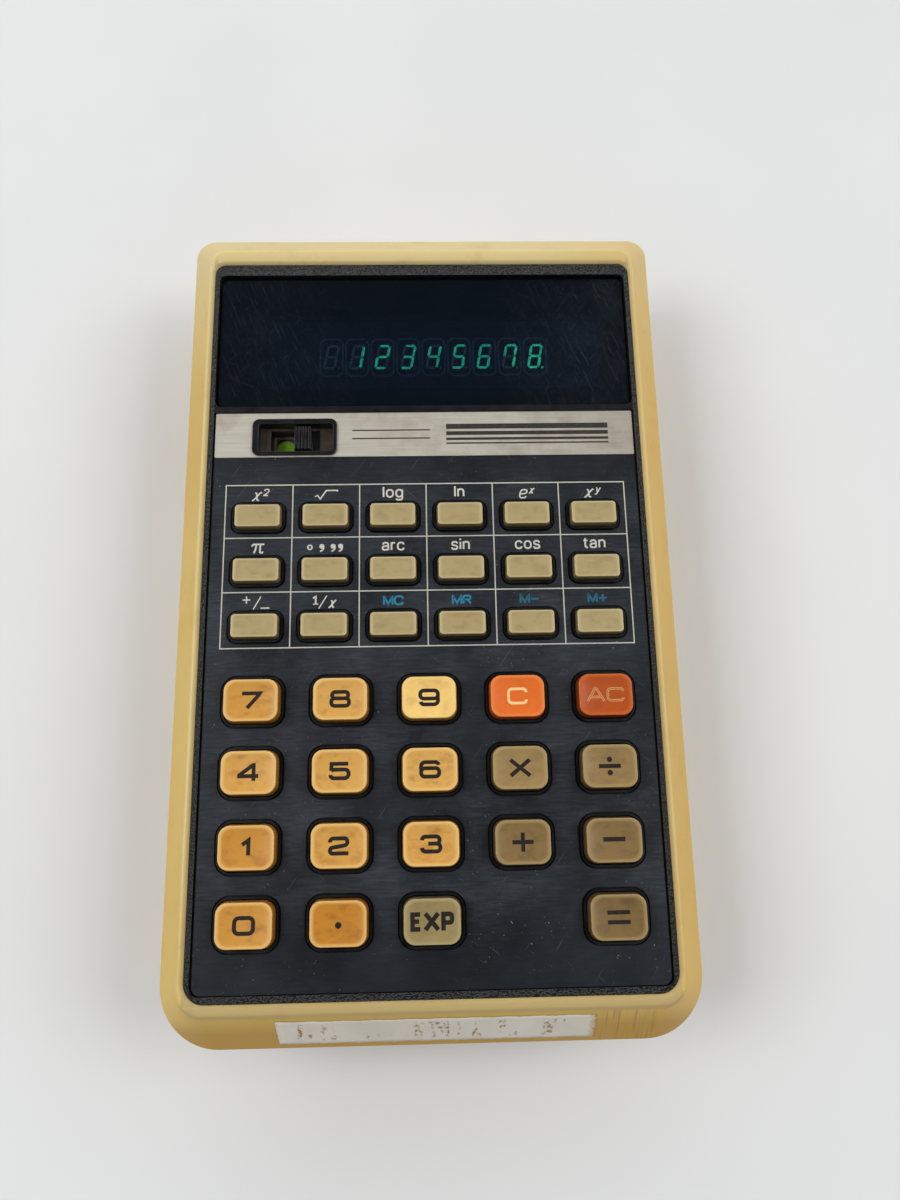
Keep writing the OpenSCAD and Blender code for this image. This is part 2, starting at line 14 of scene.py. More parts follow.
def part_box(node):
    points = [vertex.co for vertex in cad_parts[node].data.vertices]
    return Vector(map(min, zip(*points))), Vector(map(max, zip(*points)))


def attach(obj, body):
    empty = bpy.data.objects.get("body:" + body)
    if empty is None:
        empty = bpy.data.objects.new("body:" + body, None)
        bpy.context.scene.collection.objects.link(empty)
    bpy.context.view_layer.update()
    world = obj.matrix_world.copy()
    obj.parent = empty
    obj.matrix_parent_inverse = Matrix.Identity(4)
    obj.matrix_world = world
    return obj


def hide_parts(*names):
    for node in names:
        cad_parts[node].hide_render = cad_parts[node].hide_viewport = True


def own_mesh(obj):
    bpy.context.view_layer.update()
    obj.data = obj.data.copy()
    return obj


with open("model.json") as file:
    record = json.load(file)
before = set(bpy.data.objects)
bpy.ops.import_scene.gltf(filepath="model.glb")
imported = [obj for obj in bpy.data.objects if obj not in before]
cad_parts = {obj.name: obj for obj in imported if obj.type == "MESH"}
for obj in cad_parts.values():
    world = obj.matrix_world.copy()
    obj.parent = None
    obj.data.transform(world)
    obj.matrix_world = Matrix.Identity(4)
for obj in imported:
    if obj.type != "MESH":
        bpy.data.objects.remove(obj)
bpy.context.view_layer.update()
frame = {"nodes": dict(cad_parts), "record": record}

MM = 0.001
PARTING = 19.2  # height of the line where the two shells meet
scene = bpy.context.scene
scene.view_settings.view_transform = "Standard"


def box_mm(node):
    """Lowest and highest corner of a CAD node, in millimetres."""
    lo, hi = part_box(node)
    return Vector(lo) / MM, Vector(hi) / MM


def srgb(code):
    """Linear colour with alpha from a six-digit sRGB code."""
    parts = [int(code[i : i + 2], 16) / 255 for i in (0, 2, 4)]
    return tuple(c / 12.92 if c <= 0.04045 else ((c + 0.055) / 1.055) ** 2.4 for c in parts) + (1.0,)


# --- Material nodes ---


class Nodes:
    """Short calls that add nodes to a shader tree."""

    def __init__(self, tree):
        self.tree = tree

    def node(self, kind, *inputs, out=0, **settings):
        """New node with its inputs given as (socket, value or output), and the output asked for."""
        node = self.tree.nodes.new("ShaderNode" + kind)
        for name, value in settings.items():
            setattr(node, name, value)
        for socket, value in inputs:
            self.feed(node.inputs[socket], value)
        return node.outputs[out]

    def feed(self, socket, value):
        if isinstance(value, bpy.types.NodeSocket):
            self.tree.links.new(value, socket)
        else:
            socket.default_value = value

    def span(self, value, low, high, to_low=0.0, to_high=1.0, **settings):
        """value from low to high becomes to_low to to_high, and is held there."""
        inputs = enumerate((value, low, high, to_low, to_high))
        return self.node("MapRange", *inputs, **settings)

    def math(self, operation, a, b):
        return self.node("Math", (0, a), (1, b), operation=operation)

    def times(self, first, *others):
        for other in others:
            first = self.math("MULTIPLY", first, other)
        return first

    def most(self, first, *others):
        for other in others:
            first = self.math("MAXIMUM", first, other)
        return first


class Material(Nodes):
    """A Principled material whose patterns lie in the row frame, with their sizes in millimetres."""

    def __init__(self, name, **sockets):
        self.mat = bpy.data.materials.new(name)
        self.mat.use_nodes = True
        super().__init__(self.mat.node_tree)
        self.shader = self.tree.nodes["Principled BSDF"]
        self.place = None
        for socket, value in sockets.items():
            self.shader.inputs[socket.replace("_", " ")].default_value = value

    def coordinates(self, stretch=(1, 1, 1)):
        if self.place is None:
            self.place = self.node("TexCoord", out="Object")
        factor = tuple(s / MM for s in stretch)
        return self.node("VectorMath", (0, self.place), (1, factor), operation="MULTIPLY")

    def axis(self, name):
        """Position along X, Y or Z."""
        return self.node("SeparateXYZ", (0, self.coordinates()), out=name)

    def off_middle(self):
        """Distance from the middle plane."""
        return self.math("ABSOLUTE", self.axis("X"), 0)

    def noise(self, size, detail=3.0, stretch=(1, 1, 1), rough=0.5, seed=0.0):
        """Noise from 0 to 1 with features about size wide. A stretch below 1 draws them out along an axis."""
        return self.noise_at(self.coordinates(stretch), size, seed, ("Detail", detail), ("Roughness", rough))

    def noise_at(self, place, size, seed, *more):
        inputs = (("Vector", place), ("W", seed), ("Scale", 1 / size), *more)
        return self.node("TexNoise", *inputs, noise_dimensions="4D")

    def cells(self, size):
        return self.node("TexVoronoi", ("Vector", self.coordinates()), ("Scale", 1 / size))

    def streaks(self, size, length, turn, low, high, seed=0.0):
        """Straight marks from 0 to 1, about size wide and length long, turned by that many degrees from Y."""
        inputs = (("Vector", self.coordinates()), ("Angle", radians(turn)))
        turned = self.node("VectorRotate", *inputs, rotation_type="Z_AXIS")
        drawn = self.node("VectorMath", (0, turned), (1, (1, size / length, 1)), operation="MULTIPLY")
        return self.span(self.noise_at(drawn, size, seed), low, high)

    def attribute(self, name):
        return self.node("Attribute", out="Fac", attribute_name=name)

    def mix(self, factor, a, b):
        """Colour from a at factor 0 to b at factor 1. Either may be an sRGB code."""
        a, b = (srgb(c) if isinstance(c, str) else c for c in (a, b))
        return self.node("Mix", (0, factor), (6, a), (7, b), out=2, data_type="RGBA")

    def band(self, value, low, high, soft):
        """1 where value lies between low and high, fading to 0 over soft."""
        rise = self.span(value, low - soft, low)
        fall = self.span(value, high, high + soft, 1.0, 0.0)
        return self.times(rise, fall)

    def bump(self, height, depth, below=None):
        """Surface relief of a height from 0 to 1, depth deep."""
        under = () if below is None else (("Normal", below),)
        return self.node("Bump", ("Height", height), ("Distance", depth * MM), *under)

    def done(self, color, rough=None, normal=None):
        """The material, with what feeds these three inputs of its shader."""
        for socket, value in (("Base Color", color), ("Roughness", rough), ("Normal", normal)):
            if value is not None:
                self.feed(self.shader.inputs[socket], value)
        return self.mat


def case_plastic():
    """Yellowed cream plastic with grime, specks, fine scratches and rubbed streaks beside the label, and
    painted light: a paler crest and display end and a darker front wall.
    """
    m = Material("case_cream", Specular_IOR_Level=0.42)
    height, along = m.axis("Z"), m.axis("Y")
    tone = m.mix(m.span(m.noise(38, 3), 0.3, 0.7), "CAAB58", "C19E4B")
    # painted light: the crest and the display end are painted paler than the sides and the key end, as a
    # painted highlight where the light falls on them
    tone = m.mix(m.span(along, 40, 64, 0, 0.6), tone, "D0C290")
    crest_highlight = m.times(m.span(height, 24.6, 25.0), m.span(along, -63, -40, 0.3, 0.85))
    tone = m.mix(crest_highlight, tone, "D8C48A")
    tone = m.mix(m.span(m.axis("X"), 20, 39, 0, 0.4), tone, "CBA250")
    # the crest at the key end is darker and greyer
    key_end_darker = m.times(m.span(height, 24.3, 24.8), m.span(along, -61.6, -62.6, 0, 0.6))
    tone = m.mix(key_end_darker, tone, "9C8C66")
    # the front wall at the key end is painted darker and browner: painted shade, as less light comes from that
    # side
    tone = m.mix(m.span(along, -64.2, -66.5, 0, 0.6), tone, "A2742C")
    # grime, most of it in the groove round the bezel, then specks
    grime = m.noise(5, 6, rough=0.65, seed=2)
    tone = m.mix(m.times(m.attribute("bevel"), m.span(grime, 0.25, 0.65, 0.4, 0.75)), tone, "A8976C")
    tone = m.mix(m.span(grime, 0.56, 0.8, 0, 0.35), tone, "9C7C3C")
    specks = m.span(m.noise(0.55, 2, seed=5), 0.75, 0.79, 0, 0.85)
    tone = m.mix(m.times(specks, m.span(m.noise(9, 2, seed=7), 0.5, 0.62)), tone, "3A2C16")
    # parting line: a painted shadow line in the joint, broken up by dirt
    line = m.band(height, PARTING - 0.2, PARTING + 0.2, 0.12)
    tone = m.mix(m.times(line, m.span(grime, 0.2, 0.6, 0.45, 0.85)), tone, "5E4A24")
    # rubbed streaks on the front slope, right of the label
    streaks = m.noise(0.35, 3, stretch=(1, 0.03, 0.03), seed=3)
    beside = m.times(m.band(m.axis("X"), 25.6, 38, 1.5), m.span(along, -63.9, -64.4))
    beside = m.times(beside, m.span(m.noise(3.5, 1, stretch=(1, 0.1, 0.1), seed=9), 0.35, 0.6))
    beside = m.times(beside, m.span(height, PARTING, PARTING + 0.4))
    tone = m.mix(m.times(m.span(streaks, 0.5, 0.66, 0, 0.75), beside), tone, "7A5E2C")
    moulded = m.bump(m.noise(0.45, 2, seed=4), 0.012)
    fine = m.noise(0.5, 2, stretch=(1, 0.06, 0.3), seed=8)
    scratched = m.bump(m.span(fine, 0.62, 0.72, 1, 0), 0.01, below=moulded)
    return m.done(tone, m.span(grime, 0.3, 0.8, 0.36, 0.56), scratched)


def black_plastic(name, grained):
    """Black moulded plastic with dust. If grained, the rim outside the recess has a fine leather texture, whose
    specks are painted paler towards the display end as painted reflection.
    """
    m = Material(name, Specular_IOR_Level=0.45)
    dust = m.span(m.noise(0.3, 3, seed=1), 0.66, 0.76, 0, 0.35)
    patches = m.span(m.noise(7, 3, seed=6), 0.48, 0.68)
    tone = m.mix(m.span(m.noise(4, 4), 0.3, 0.7), "08090B", "101114")
    if grained:
        lo, hi = box_mm("key_panel")
        side, end, along = hi.x + 0.25, box_mm("display_window")[1].y + 0.35, m.axis("Y")
        rim = m.most(m.span(m.off_middle(), side, side + 0.15), m.span(along, end, end + 0.15))
        rim = m.most(rim, m.span(along, lo.y - 0.1, lo.y - 0.2))
        pebbles = m.times(m.span(m.cells(0.3), 0.05, 0.6, 1, 0), rim)
        # paler grain specks, growing towards the display end: painted reflection of the room on the rim
        rubbed = m.times(rim, m.span(along, -60, 60, 0.12, 0.55))
        tone = m.mix(m.times(m.span(m.noise(0.28, 2, seed=3), 0.5, 0.68), rubbed), tone, "46484B")
        dust = m.times(dust, rim)
        relief = m.bump(m.noise(0.2, 2), 0.012, below=m.bump(pebbles, 0.12))
    else:
        relief = m.bump(m.noise(0.5, 3), 0.004)
    tone = m.mix(m.times(dust, patches), tone, "7C7566")
    return m.done(tone, m.span(m.noise(2, 3, seed=3), 0.3, 0.7, 0.26, 0.4), relief)


def panel_paint():
    """Blue-black satin paint, with faint rubbed patches, lint and dust."""
    m = Material("panel_blue_black", Specular_IOR_Level=0.25)
    clouds = m.noise(22, 4, rough=0.6)
    tone = m.mix(m.span(clouds, 0.32, 0.66), "101317", "1D2127")
    fine = m.noise(0.3, 2, stretch=(0.12, 1, 1), seed=2)
    touched = m.span(m.band(m.axis("Y"), -46, 14, 11), 0, 1, 0.25, 1)
    haze = m.span(m.noise(9, 4, rough=0.65, seed=4), 0.36, 0.7, 0.12, 0.6)
    haze = m.times(m.span(fine, 0.35, 0.75, 0.35, 1), haze)
    tone = m.mix(m.times(haze, touched), tone, "50545B")
    hairs = m.most(m.streaks(0.16, 7, 35, 0.7, 0.74, 3), m.streaks(0.14, 5, -50, 0.71, 0.75, 6))
    tone = m.mix(m.times(hairs, 0.3), tone, "7E8084")
    dust = m.span(m.noise(0.3, 2, seed=5), 0.69, 0.76, 0, 0.8)
    where = m.span(m.noise(5, 3, seed=8), 0.47, 0.62)
    tone = m.mix(m.times(dust, where), tone, "A8A493")
    return m.done(tone, m.span(clouds, 0.3, 0.7, 0.33, 0.44), m.bump(fine, 0.006))


def brushed_band():
    """Warm aged aluminium, brushed along its length."""
    m = Material("brushed_metal", Metallic=0.4)
    brush = m.noise(0.11, 3, stretch=(0.012, 1, 1))
    stain = m.noise(7, 5, seed=3, rough=0.6)
    tone = m.mix(m.span(brush, 0.25, 0.75), "BEB9A9", "DCD7CC")
    tone = m.mix(m.span(m.axis("X"), 14, 34, 0, 0.4), tone, "998E7C")
    tone = m.mix(m.span(stain, 0.48, 0.75, 0, 0.6), tone, "8E7C64")
    return m.done(tone, m.span(brush, 0.3, 0.7, 0.3, 0.44), m.bump(brush, 0.012))


def key_plastic(name, light, deep, edge, stain="7A5428"):
    """Mottled key plastic, deeper in the middle, lighter on its edge from wear and a painted highlight, and
    darker on its sides as painted shade.

    The mesh says where its edge and side are, and how much it has darkened.
    """
    m = Material(name, Specular_IOR_Level=0.45)
    mottle = m.noise(2.6, 4, rough=0.6)
    tone = m.mix(m.span(mottle, 0.3, 0.72, 0, 0.26), light, deep)
    tone = m.mix(m.attribute("shade"), tone, deep)
    patina = m.noise(1.7, 3, rough=0.55, stretch=(0.8, 1.3, 1), seed=4)
    inside = m.span(m.attribute("edge"), 0.0, 0.4, 0.42, 0.0)
    inside = m.times(inside, m.span(m.attribute("shade"), 0.0, 0.9, 0.8, 1.7))
    tone = m.mix(m.times(m.span(patina, 0.48, 0.74), inside), tone, stain)
    # lighter edge: partly wear, partly a painted highlight
    tone = m.mix(m.span(m.attribute("edge"), 0.1, 1.0, 0.0, 0.6), tone, edge)
    # darker sides: painted shade of the gap round the key
    tone = m.mix(m.attribute("side"), tone, tuple(0.4 * c for c in srgb(deep)[:3]) + (1.0,))
    return m.done(tone, m.span(patina, 0.3, 0.7, 0.3, 0.42), m.bump(m.noise(0.5, 2, seed=7), 0.006))


def ink(name, code, worn, wear=0.25):
    """Printed ink, thinner in spots."""
    m = Material(name, Roughness=0.5, Specular_IOR_Level=0.3)
    return m.done(m.mix(m.span(m.noise(0.5, 3), 0.5, 0.8, 0, wear), code, worn))


def smoked_window():
    """Smoked acrylic pane with fine wipe marks."""
    blue = (0.4, 0.72, 1.0, 1.0)
    m = Material("window_smoke", Transmission_Weight=0.94, IOR=1.45, Specular_IOR_Level=0.5, Specular_Tint=blue)
    wipes = m.noise(2.2, 4, stretch=(0.25, 1, 1), seed=2)
    tint = m.mix(m.span(wipes, 0.3, 0.75), (0.036, 0.058, 0.105, 1), (0.046, 0.074, 0.13, 1))
    # fine scratches, more of them towards both ends and most at the right one
    scratch = m.most(m.streaks(0.13, 4, -22, 0.61, 0.71, 6), m.streaks(0.11, 2.8, 38, 0.63, 0.73, 9))
    scratch = m.most(scratch, m.streaks(0.12, 5, -68, 0.65, 0.74, 2))
    ends = m.most(m.span(m.axis("X"), 12, 33, 0.1, 1), m.span(m.axis("X"), -10, -32, 0.1, 0.6))
    rubbed = m.times(ends, m.span(m.noise(7, 4, rough=0.6, seed=4), 0.32, 0.62, 0.15))
    tint = m.mix(m.times(rubbed, 0.45), tint, (0.24, 0.29, 0.36, 1))
    tint = m.mix(m.times(scratch, m.times(ends, 0.55)), tint, (0.95, 1.0, 1.0, 1))
    return m.done(tint, m.span(wipes, 0.45, 0.75, 0.02, 0.09))


def clear_glass():
    m = Material("tube_glass", Transmission_Weight=1.0, IOR=1.2)
    tint = m.mix(m.noise(9, 2), (0.86, 0.92, 0.92, 1), (0.8, 0.88, 0.9, 1))
    return m.done(tint, m.span(m.noise(3, 2), 0.3, 0.7, 0.0, 0.04))


def glow(name, code, strength, spread=0.35):
    """Material that gives its own light, uneven along its length. Only the lit phosphor is a lamp; on the other
    parts the glow is painted light.
    """
    m = Material(name, Roughness=0.6)
    shades = m.mix(m.span(m.noise(0.8, 2), 0.3, 0.7), code, tuple(c * (1 - spread) for c in srgb(code)))
    m.feed(m.shader.inputs["Emission Color"], shades)
    m.feed(m.shader.inputs["Emission Strength"], strength)
    return m.done(shades)


def plain(name, light, dark, size=3.0, rough=(0.4, 0.6), relief=0.01, metal=0.0):
    """Two shades in soft clouds over a fine relief, for the pieces inside and on the back."""
    m = Material(name, Metallic=metal)
    tone = m.mix(m.span(m.noise(size, 4), 0.3, 0.7), light, dark)
    sheen = m.span(m.noise(size / 2, 3, seed=3), 0.3, 0.7, *rough)
    return m.done(tone, sheen, m.bump(m.noise(0.4, 3, seed=5), relief))


def worn_label():
    """Off-white paper with the brown remains of worn print, which are noise in a row and not letters."""
    m = Material("label_paper", Roughness=0.62, Specular_IOR_Level=0.3)
    tone = m.mix(m.span(m.noise(7, 4), 0.3, 0.7), "D6D0C6", "C9C3B8")
    row = m.band(m.axis("Z"), 21.3, 23.3, 0.5)
    clumps = m.span(m.noise(1.7, 1, stretch=(1, 0.2, 0.2), seed=6), 0.53, 0.58)
    crumbs = m.span(m.noise(0.7, 4, rough=0.65, seed=2), 0.49, 0.55, 0, 0.9)
    marks = m.times(clumps, crumbs, row)
    tone = m.mix(m.times(marks, m.band(m.axis("X"), -21, 20, 1)), tone, "86693A")
    grime = m.span(m.noise(1.2, 5, rough=0.7, seed=8), 0.62, 0.75, 0, 0.35)
    tone = m.mix(grime, tone, "A89A7C")
    # both ends are rubbed through to the case
    worn = m.times(m.span(m.off_middle(), 23.0, 24.1), m.span(m.noise(0.5, 3, seed=4), 0.3, 0.55))
    return m.done(m.mix(worn, tone, "B08F4C"), normal=m.bump(m.noise(0.3, 4), 0.01))


# --- Mesh helpers ---


def piece(name, verts, faces, mat, body, stands_for=(), slot=None, sharp=32, attributes=None):
    """Mesh from points in millimetres that rides on a body."""
    mesh = bpy.data.meshes.new(name)
    mesh.from_pydata([(x * MM, y * MM, z * MM) for x, y, z in verts], [], faces)
    mesh.materials.append(mat)
    for key, values in (attributes or {}).items():
        mesh.attributes.new(key, "FLOAT", "POINT").data.foreach_set("value", values)
    mesh.shade_smooth()
    mesh.set_sharp_from_angle(angle=radians(sharp))
    obj = bpy.data.objects.new(name, mesh)
    scene.collection.objects.link(obj)
    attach(obj, body)
    if stands_for:
        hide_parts(*stands_for)
    return obj


def outline(half_w, y0, y1, r_low, r_top, steps=12, straight=1):
    """Anticlockwise rounded outline with one radius at its lower corners and one at its upper ones."""
    corners = (
        (half_w - r_low, y0 + r_low, r_low, -90),
        (half_w - r_top, y1 - r_top, r_top, 0),
        (r_top - half_w, y1 - r_top, r_top, 90),
        (r_low - half_w, y0 + r_low, r_low, 180),
    )
    points = []
    for x, y, r, start in corners:
        for i in range(steps + 1):
            a = radians(start + 90 * i / steps)
            points.append((x + r * cos(a), y + r * sin(a)))
    if straight > 1:
        points = divided(points, straight, steps + 1)
    return points


def divided(points, parts, corner):
    """The outline with its straight sides cut into parts. Each follows a corner of that many points."""
    out = []
    for i, (x, y) in enumerate(points):
        out.append((x, y))
        if i % corner == corner - 1:
            nx, ny = points[(i + 1) % len(points)]
            out += [(x + (nx - x) * k / parts, y + (ny - y) * k / parts) for k in range(1, parts)]
    return out


def loft(rings, closed=False, cap_start=False, cap_end=False):
    """Vertices and faces of a skin over rings of equal point count."""
    n = len(rings[0])
    verts = [p for ring in rings for p in ring]
    faces = []
    for i in range(len(rings) if closed else len(rings) - 1):
        a, b = i * n, (i + 1) % len(rings) * n
        faces += [(a + k, a + (k + 1) % n, b + (k + 1) % n, b + k) for k in range(n)]
    if cap_start:
        faces.append(tuple(reversed(range(n))))
    if cap_end:
        faces.append(tuple(range(len(verts) - n, len(verts))))
    return verts, faces


def at(points, z):
    return [(x, y, z) for x, y in points]


def circle(x, y, r, n):
    """n points anticlockwise round x, y."""
    return [(x + r * cos(2 * pi * k / n), y + r * sin(2 * pi * k / n)) for k in range(n)]


def ease(a, b, t):
    return a + (b - a) * t


def rounded_edge(start, corner, end, steps=6):
    """Points of a soft edge from start to end that bends at corner."""
    out = []
    for i in range(steps + 1):
        t = i / steps
        out.append([ease(ease(p, q, t), ease(q, r, t), t) for p, q, r in zip(start, corner, end)])
    return out


# --- Softened CAD nodes ---


def softening():
    """Node group that welds a CAD mesh, drops its stored normals and smooths all but real edges."""
    group = bpy.data.node_groups.new("welded_smooth", "GeometryNodeTree")
    for way in ("INPUT", "OUTPUT"):
        group.interface.new_socket("Geometry", in_out=way, socket_type="NodeSocketGeometry")

    def add(kind, domain=None, **values):
        node = group.nodes.new(kind)
        if domain:
            node.domain = domain
        for socket, value in values.items():
            node.inputs[socket.replace("_", " ")].default_value = value
        return node

    weld = add("GeometryNodeMergeByDistance", Distance=0.002 * MM)
    drop = add("GeometryNodeRemoveAttribute", Name="custom_normal")
    faces = add("GeometryNodeSetShadeSmooth", "FACE")
    edges = add("GeometryNodeSetShadeSmooth", "EDGE", Shade_Smooth=False)
    angle, sharp = add("GeometryNodeInputMeshEdgeAngle"), add("FunctionNodeCompare")
    sharp.operation = "GREATER_THAN"
    sharp.inputs[1].default_value = radians(30)
    group.links.new(angle.outputs["Unsigned Angle"], sharp.inputs[0])
    group.links.new(sharp.outputs["Result"], edges.inputs["Selection"])
    chain = (add("NodeGroupInput"), weld, drop, faces, edges, add("NodeGroupOutput"))
    for a, b in zip(chain, chain[1:]):
        group.links.new(a.outputs[0], b.inputs[0])
    return group


SOFTENING = softening()


def soften(node, mat, bevel=0.0, angle=40):
    """Gives a CAD node its material, smooth shading and fine rounded edges, with modifiers only."""
    obj = frame["nodes"][node]
    obj.data.materials.clear()
    obj.data.materials.append(mat)
    smooth = obj.modifiers.new("smooth", "NODES")
    smooth.node_group = SOFTENING
    if bevel:
        edge = obj.modifiers.new("edges", "BEVEL")
        edge.width = bevel * MM
        edge.segments = 2
        edge.limit_method = "ANGLE"
        edge.angle_limit = radians(angle)
    return obj


# --- Case ---


def build_upper_case(mat):
    """Shell with sloped sides, a soft crest round the face and a locating lip below the parting line."""
    lo, hi = box_mm("upper_case")
    half_w, half_l, top = hi.x, hi.y, hi.z
    low_r, top_r = 9.5, 3.5  # corners of the widest outline, at the key end and at the display end
    crest_w, crest_l, crest_low_r, crest_top_r = 37.72, 63.6, 3.7, 2.6
    hole_w, hole_y0, hole_y1, hole_low_r, hole_top_r = 36.96, -62.06, 61.06, 3.16, 1.96
    rim_z = box_mm("bezel_frame")[1].z
    ceiling, lip = 21.7, 2.2

    def slope(k, z):
        """Ring at share k of the way from the parting line to the crest."""
        y = ease(half_l, crest_l, k)
        radii = ease(low_r, crest_low_r, k), ease(top_r, crest_top_r, k)
        return at(outline(ease(half_w, crest_w, k), -y, y, *radii, 16), z)

    def inset(d, z):
        """Ring that far inside the widest outline."""
        return at(outline(half_w - d, d - half_l, half_l - d, low_r - 0.8 * d, top_r - 0.6 * d, 16), z)

    def rim(grow, z):
        """Ring round the opening for the bezel frame."""
        radii = hole_low_r + grow, hole_top_r + grow
        return at(outline(hole_w + grow, hole_y0 - grow, hole_y1 + grow, *radii, 16), z)

    edge = PARTING + 0.45
    rings = [inset(0.35, PARTING), inset(0.12, PARTING + 0.06), inset(0, PARTING + 0.25), inset(0, edge)]
    foot = PARTING + 0.5
    rise = top - foot
    lower_bend = rounded_edge((0, edge), (0, edge + 0.15), (0.05, foot + 0.05 * rise), 3)[1:]
    upper_bend = rounded_edge((0.87, foot + 0.87 * rise), (0.985, top), (1.04, top), 10)
    rings += [slope(k, z) for k, z in lower_bend + upper_bend]
    rings += [rim(0.58, top - 0.015), rim(0.5, top - 0.07), rim(0.04, rim_z + 0.07), rim(0, rim_z)]
    cavity = outline(38.4, -65.2, 65.2, 5.2, 2.2, 16)
    rings += [rim(0, ceiling), at(cavity, ceiling), at(cavity, lo.z), inset(lip, lo.z), inset(lip, PARTING)]
    verts, faces = loft(rings, closed=True)

    def in_hole(x, y, z):
        return abs(x) < hole_w + 0.1 and hole_y0 - 0.1 < y < hole_y1 + 0.1 and z > rim_z - 0.1

    bevel = {"bevel": [1.0 if in_hole(*point) else 0.0 for point in verts]}
    piece("case_top", verts, faces, mat, "case", ["upper_case"], "case_cream", sharp=50, attributes=bevel)


def build_front_label(mat):
    """Thin worn sticker on the lower slope, with ragged ends."""
    lo = box_mm("upper_case")[0]
    foot, head = Vector((0, lo.y, 19.7)), Vector((0, -64.2, 24.5))
    up = head - foot
    thick = 0.06
    lift = Vector((0, -abs(up.z), abs(up.y))).normalized() * thick
    cols, rows = 80, 10
    verts, faces = [], []
    for j in range(rows + 1):
        t = ease(0.15, 0.9, j / rows)
        left = -23.5 + 0.5 * (1 - t) + 0.05 * sin(31 * t)
        right = 24.2 + 0.06 * sin(9 * t + 1) + 0.05 * sin(27 * t)
        for i in range(cols + 1):
            x = ease(left, right, i / cols)
            ragged = 0.008 * sin(x * 1.3) + 0.006 * sin(x * 4.7 + 1) if j in (0, rows) else 0
            point = foot + up * (t + ragged) + lift
            verts.append((x, point.y, point.z))
    for j in range(rows):
        for i in range(cols):
            a = j * (cols + 1) + i
            faces.append((a, a + 1, a + cols + 2, a + cols + 1))
    label = piece("front_label", verts, faces, mat, "case", (), "label_paper")
    paper = label.modifiers.new("paper", "SOLIDIFY")
    paper.thickness = thick * MM
    paper.offset = -1


def build_rating_label(mat, print_mat):
    """Foil label in its recess on the back, with neutral printed rules in place of its wording."""
    centre_y, half_w, half_l, chamfer = 4, 23.8, 12.8, 0.1
    seat, edge_z, face = 0.39, 0.22, 0.16

    def plan(inset):
        half_y = half_l - inset
        return outline(half_w - inset, centre_y - half_y, centre_y + half_y, 1.4 - inset, 1.4 - inset, 8)

    rings = [at(plan(0), seat), at(plan(0), edge_z), at(plan(chamfer), face)]
    verts, faces = loft(rings, cap_start=True, cap_end=True)
    faces = [tuple(reversed(f)) for f in faces]
    piece("rating_label", verts, faces, mat, "case", ["adhesive_labels"], "label_paper")
    rule_x, rule_y = 21, 10.8
    strokes = [bar(-rule_x, centre_y + rule_y, rule_x, centre_y + rule_y, 0.25)]
    for i, width in enumerate((30, 36, 22, 34, 28)):
        y = centre_y + 7.6 - i * 3.1
        strokes.append(bar(20, y, 20 - width, y, 0.8))
    strokes.append(bar(-rule_x, centre_y - rule_y, rule_x, centre_y - rule_y, 0.25))
    print_piece("rating_print", strokes, print_mat, "case", face - 0.02, facing=-1)


# --- Printed strokes ---


class Stroke:
    """A line of print: its corner points, its width, the radius of its bends, and whether it closes."""

    def __init__(self, points, width, radius=0.0, closed=False):
        self.points, self.width, self.radius, self.closed = points, width, radius, closed

    def moved(self, x, y, sx=1.0, sy=1.0, slant=0.0, width=None):
        """Copy scaled by sx and sy, slanted, then put at x, y. The width stays unless given."""
        points = [(x + px * sx + py * sy * slant, y + py * sy) for px, py in self.points]
        return Stroke(points, width or self.width, self.radius * min(sx, sy), self.closed)

    def path(self, step=0.25):
        """Points along the line, with round bends and no gap over step."""
        points = self.points
        n = len(points)
        out = []
        for i, (x, y) in enumerate(points):
            if self.radius <= 0 or (not self.closed and i in (0, n - 1)):
                out.append((x, y))
                continue
            ax, ay = points[i - 1]
            bx, by = points[(i + 1) % n]
            da, db = hypot(ax - x, ay - y), hypot(bx - x, by - y)
            ua, ub = ((ax - x) / da, (ay - y) / da), ((bx - x) / db, (by - y) / db)
            dot = max(-0.999, min(0.999, ua[0] * ub[0] + ua[1] * ub[1]))
            half = atan2(sqrt(1 - dot * dot), dot) / 2
            beside = ((i - 1) % n, (i + 1) % n)
            ends = [1.0 if not self.closed and k in (0, n - 1) else 0.5 for k in beside]
            cut = min(self.radius / tan(half), da * ends[0], db * ends[1])
            r = cut * tan(half)
            mid = hypot(ua[0] + ub[0], ua[1] + ub[1])
            reach = cut / cos(half)
            cx, cy = x + (ua[0] + ub[0]) / mid * reach, y + (ua[1] + ub[1]) / mid * reach
            a0 = atan2(y + ua[1] * cut - cy, x + ua[0] * cut - cx)
            a1 = atan2(y + ub[1] * cut - cy, x + ub[0] * cut - cx)
            turn = (a1 - a0 + pi) % (2 * pi) - pi
            for k in range(9):
                a = a0 + turn * k / 8
                out.append((cx + r * cos(a), cy + r * sin(a)))
        return spaced(out, step, self.closed)


def spaced(points, step, closed):
    """The same line without doubled points and with long stretches divided."""
    out = []
    ring = points + points[:1] if closed else points
    for (ax, ay), (bx, by) in zip(ring, ring[1:]):
        length = hypot(bx - ax, by - ay)
        if length < 1e-4:
            continue
        parts = max(1, int(length / step) + 1)
        out += [(ax + (bx - ax) * k / parts, ay + (by - ay) * k / parts) for k in range(parts)]
    if not closed:
        out.append(points[-1])
    return out


